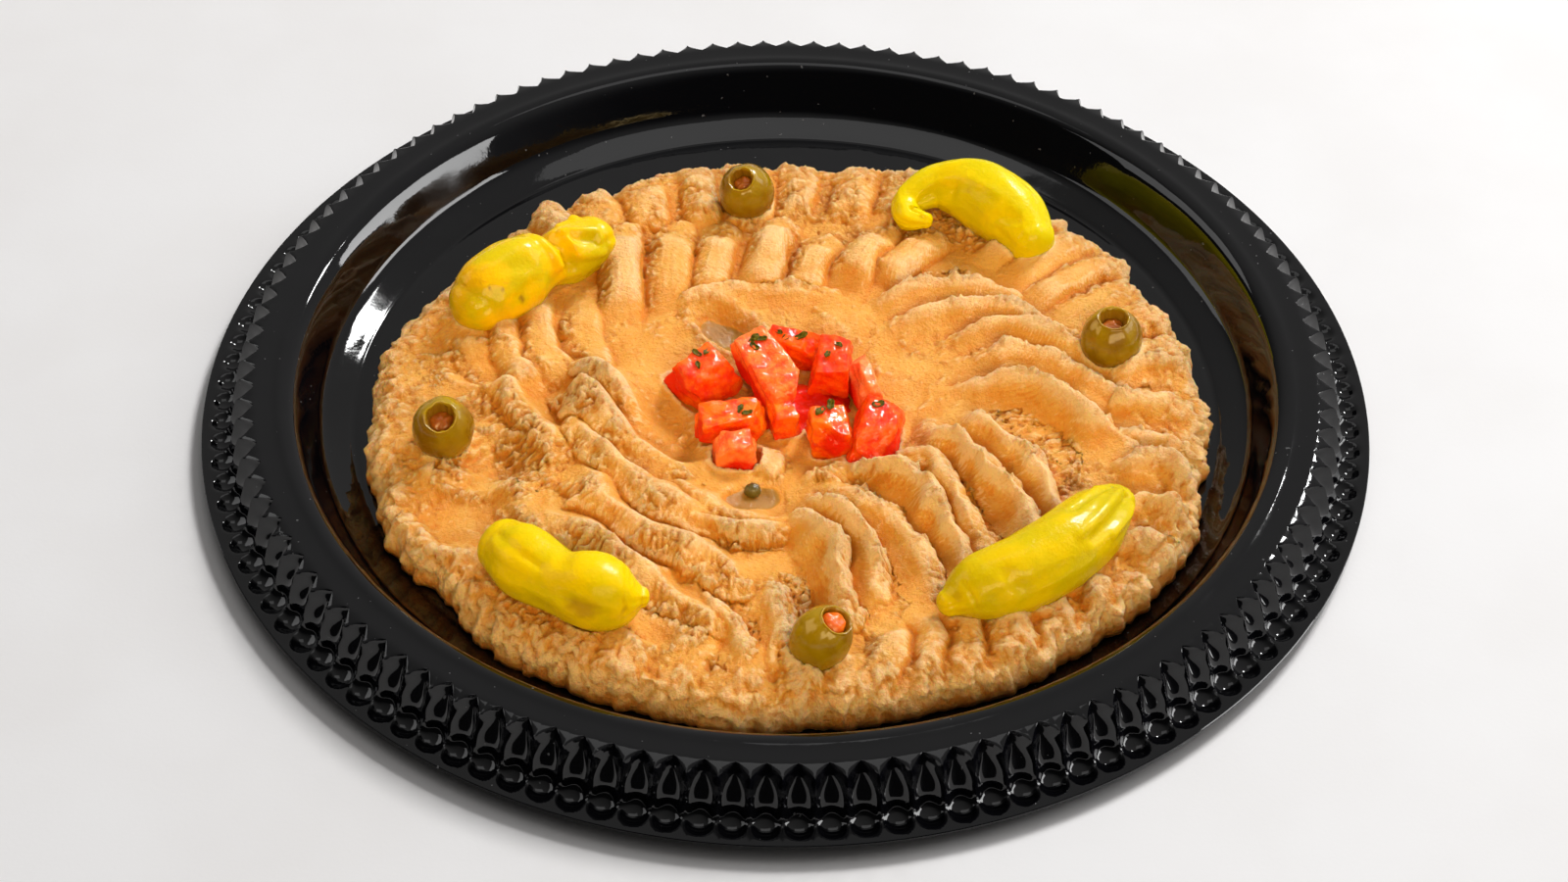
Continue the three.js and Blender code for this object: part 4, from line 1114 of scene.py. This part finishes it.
dried_herb, tree, shader = new_material("dried_herb", {"Specular IOR Level": 0.1})
veins = noise(place_of(tree), 0.6, 3, 0.6)
feed(shader, {
    "Base Color": blend(spread(veins, 0.35, 0.65), (0.035, 0.035, 0.001), (0.14, 0.12, 0.006)),
    "Roughness": spread(veins, 0.3, 0.7, 0.35, 0.6),
    "Normal": bump(veins, 0.1),
})

all_points, all_faces, start = [], [], 0
for seed, (die, u, v, turn) in enumerate(flakes, 800):
    points, faces = flake_surface(dice[die], u, v, turn, seed)
    all_points.append(points)
    all_faces += [tuple(start + k for k in face) for face in faces]
    start += len(points)
make_piece("herb_flakes", np.concatenate(all_points), all_faces, dried_herb, "tomato_flesh")

# ----------------------------------------------------------------------------------------- caper
# One caper from the brine that dropped beside the tomato. It is a small green bud, shrivelled, and
# half sunk in the paste.

caper_at, caper_radius = (-8.2, -41.7), 2.1
caper_skin = pickled_material("caper_skin", (0.06, 0.042, 0.005), (0.115, 0.09, 0.012), 0.12, {
    "Coat Weight": 0.25, "Coat Roughness": 0.12,
})
points, faces = cube_grid(16)
points = unit(points)
wrinkle = 0.10 * lumps(3 * points[:, 0] + points[:, 2], 3 * points[:, 1] - points[:, 2], 1.0, 900)
wrinkle += 0.05 * lumps(6 * points[:, 0], 6 * points[:, 1] + 3 * points[:, 2], 1.0, 901)
points = points * (caper_radius * (1 + wrinkle))[:, None] * (1.0, 0.92, 0.9)
near_caper = np.hypot(*(hummus_points[:, :2] - caper_at).T) < 0.8 * caper_radius
points += (*caper_at, hummus_points[near_caper, 2].mean() + 0.5 * caper_radius)
piece = make_piece("caper", points, faces, caper_skin, "hummus_spread")
give(piece, "brown", np.zeros(len(points)))

# ----------------------------------------------------------------------------------------- table
# The platter stands on a plain white table top of lacquered board, flat and matt, with a barely
# visible grain.

table_half = 3.0
white_table, tree, shader = new_material("white_table", {"Roughness": 0.62})
place = place_of(tree)
mottle = spread(noise(place, 60, 4), 0.3, 0.7)
feed(shader, {
    "Base Color": blend(mottle, (0.83, 0.81, 0.80), (0.86, 0.845, 0.84)),
    "Normal": bump(noise(place, 1.2, 2), 0.02),
})
mesh = bpy.data.meshes.new("table_top")
corners = [(x * table_half, y * table_half, 0) for x, y in ((-1, -1), (1, -1), (1, 1), (-1, 1))]
mesh.from_pydata(corners, [], [(0, 1, 2, 3)])
mesh.materials.append(white_table)
table_top = bpy.data.objects.new("table_top", mesh)
bpy.context.scene.collection.objects.link(table_top)

# ---------------------------------------------------------------------------------------- lights
# Soft studio light. The key softbox stands at the back right, warm fills light the food from the
# front and the left, and panels give the tray and the wet food their reflections. The room is pale
# behind the platter and dark before it.


def softbox(name, azimuth, elevation, distance, width, height, radiance, lit=None, colour=(1, 1, 1)):
    """A softbox that looks at the platter. Azimuth 0 is at the right, 90 at the back."""
    a, e = math.radians(azimuth), math.radians(elevation)
    way = Vector((math.cos(a) * math.cos(e), math.sin(a) * math.cos(e), math.sin(e)))
    data = bpy.data.lights.new(name, "AREA")
    data.shape = "RECTANGLE"
    data.size, data.size_y = width, height
    data.color = colour
    data.energy = radiance * math.pi * width * height
    lamp = bpy.data.objects.new(name, data)
    lamp.location = way * distance
    lamp.rotation_euler = way.to_track_quat("Z", "Y").to_euler()
    lamp.light_linking.receiver_collection = lit
    bpy.context.scene.collection.objects.link(lamp)


tray_only, not_tray, food, wet_food = (
    bpy.data.collections.new(name) for name in ("tray_only", "not_tray", "food", "wet_food"))
for piece in bpy.context.scene.collection.objects:
    if piece.name == "serving_tray":
        tray_only.objects.link(piece)
    elif piece.type == "MESH":
        not_tray.objects.link(piece)
        if piece.name != "table_top":
            food.objects.link(piece)
        if piece.name.startswith(("tomato", "green_olive")):
            wet_food.objects.link(piece)
softbox("key_softbox", 56, 41, 4.0, 1.15, 0.92, 46.5, lit=not_tray)
softbox("right_softbox", 16, 33, 2.6, 1.5, 1.2, 2.5, lit=not_tray)
softbox("overhead_scrim", 95, 78, 1.5, 0.9, 0.5, 0.8)
softbox("glint_panel", 80, 64, 1.5, 0.3, 0.16, 36, lit=wet_food)
softbox("front_fill", -75, 33, 2.4, 2.2, 1.0, 7.8, lit=food, colour=(1, 0.73, 0.32))
softbox("left_fill", 175, 32, 2.4, 1.6, 1.2, 4.0, lit=food, colour=(1, 0.70, 0.30))
softbox("flute_panel", 165, 35, 2.6, 2.0, 1.2, 1.4, lit=tray_only)
softbox("tray_glints", 56, 43, 4.0, 0.45, 0.35, 45, lit=tray_only)
softbox("rim_strip", 4, 16, 2.6, 2.0, 1.1, 8.0, lit=tray_only)

world = bpy.data.worlds.new("studio")
bpy.context.scene.world = world
world.use_nodes = True
tree = world.node_tree
towards = add(tree, "TexCoord").outputs["Generated"]
lit_side = add(tree, "VectorMath", {0: towards, 1: (0.45, 0.6, 0.66)}, operation="DOT_PRODUCT")
background = tree.nodes["Background"]
background.inputs["Color"].default_value = (1.0, 0.985, 0.97, 1)
feed(background, {"Strength": spread(lit_side.outputs["Value"], -0.1, 1.0, 0.03, 0.36)})
bpy.context.scene.view_settings.view_transform = "Standard"

# ---------------------------------------------------------------------------------------- camera
# A long lens that looks three quarters down on the platter from the front. The whole depth is
# sharp.

camera_elevation = math.radians(43.361)
camera_roll = math.radians(0.4644)
camera_aim = Vector((-0.35, -16.7, 4.0)) * mm
camera_distance = 0.8394
camera_data = bpy.data.cameras.new("camera")
camera_data.lens = 74.25
camera_data.sensor_width = 36
camera_data.clip_start = 0.05
camera = bpy.data.objects.new("camera", camera_data)
bpy.context.scene.collection.objects.link(camera)
camera.matrix_world = (
    Matrix.Translation(camera_aim)
    @ Matrix.Rotation(math.pi / 2 - camera_elevation, 4, "X")
    @ Matrix.Rotation(camera_roll, 4, "Z")
    @ Matrix.Translation((0, 0, camera_distance))
)
bpy.context.scene.camera = camera
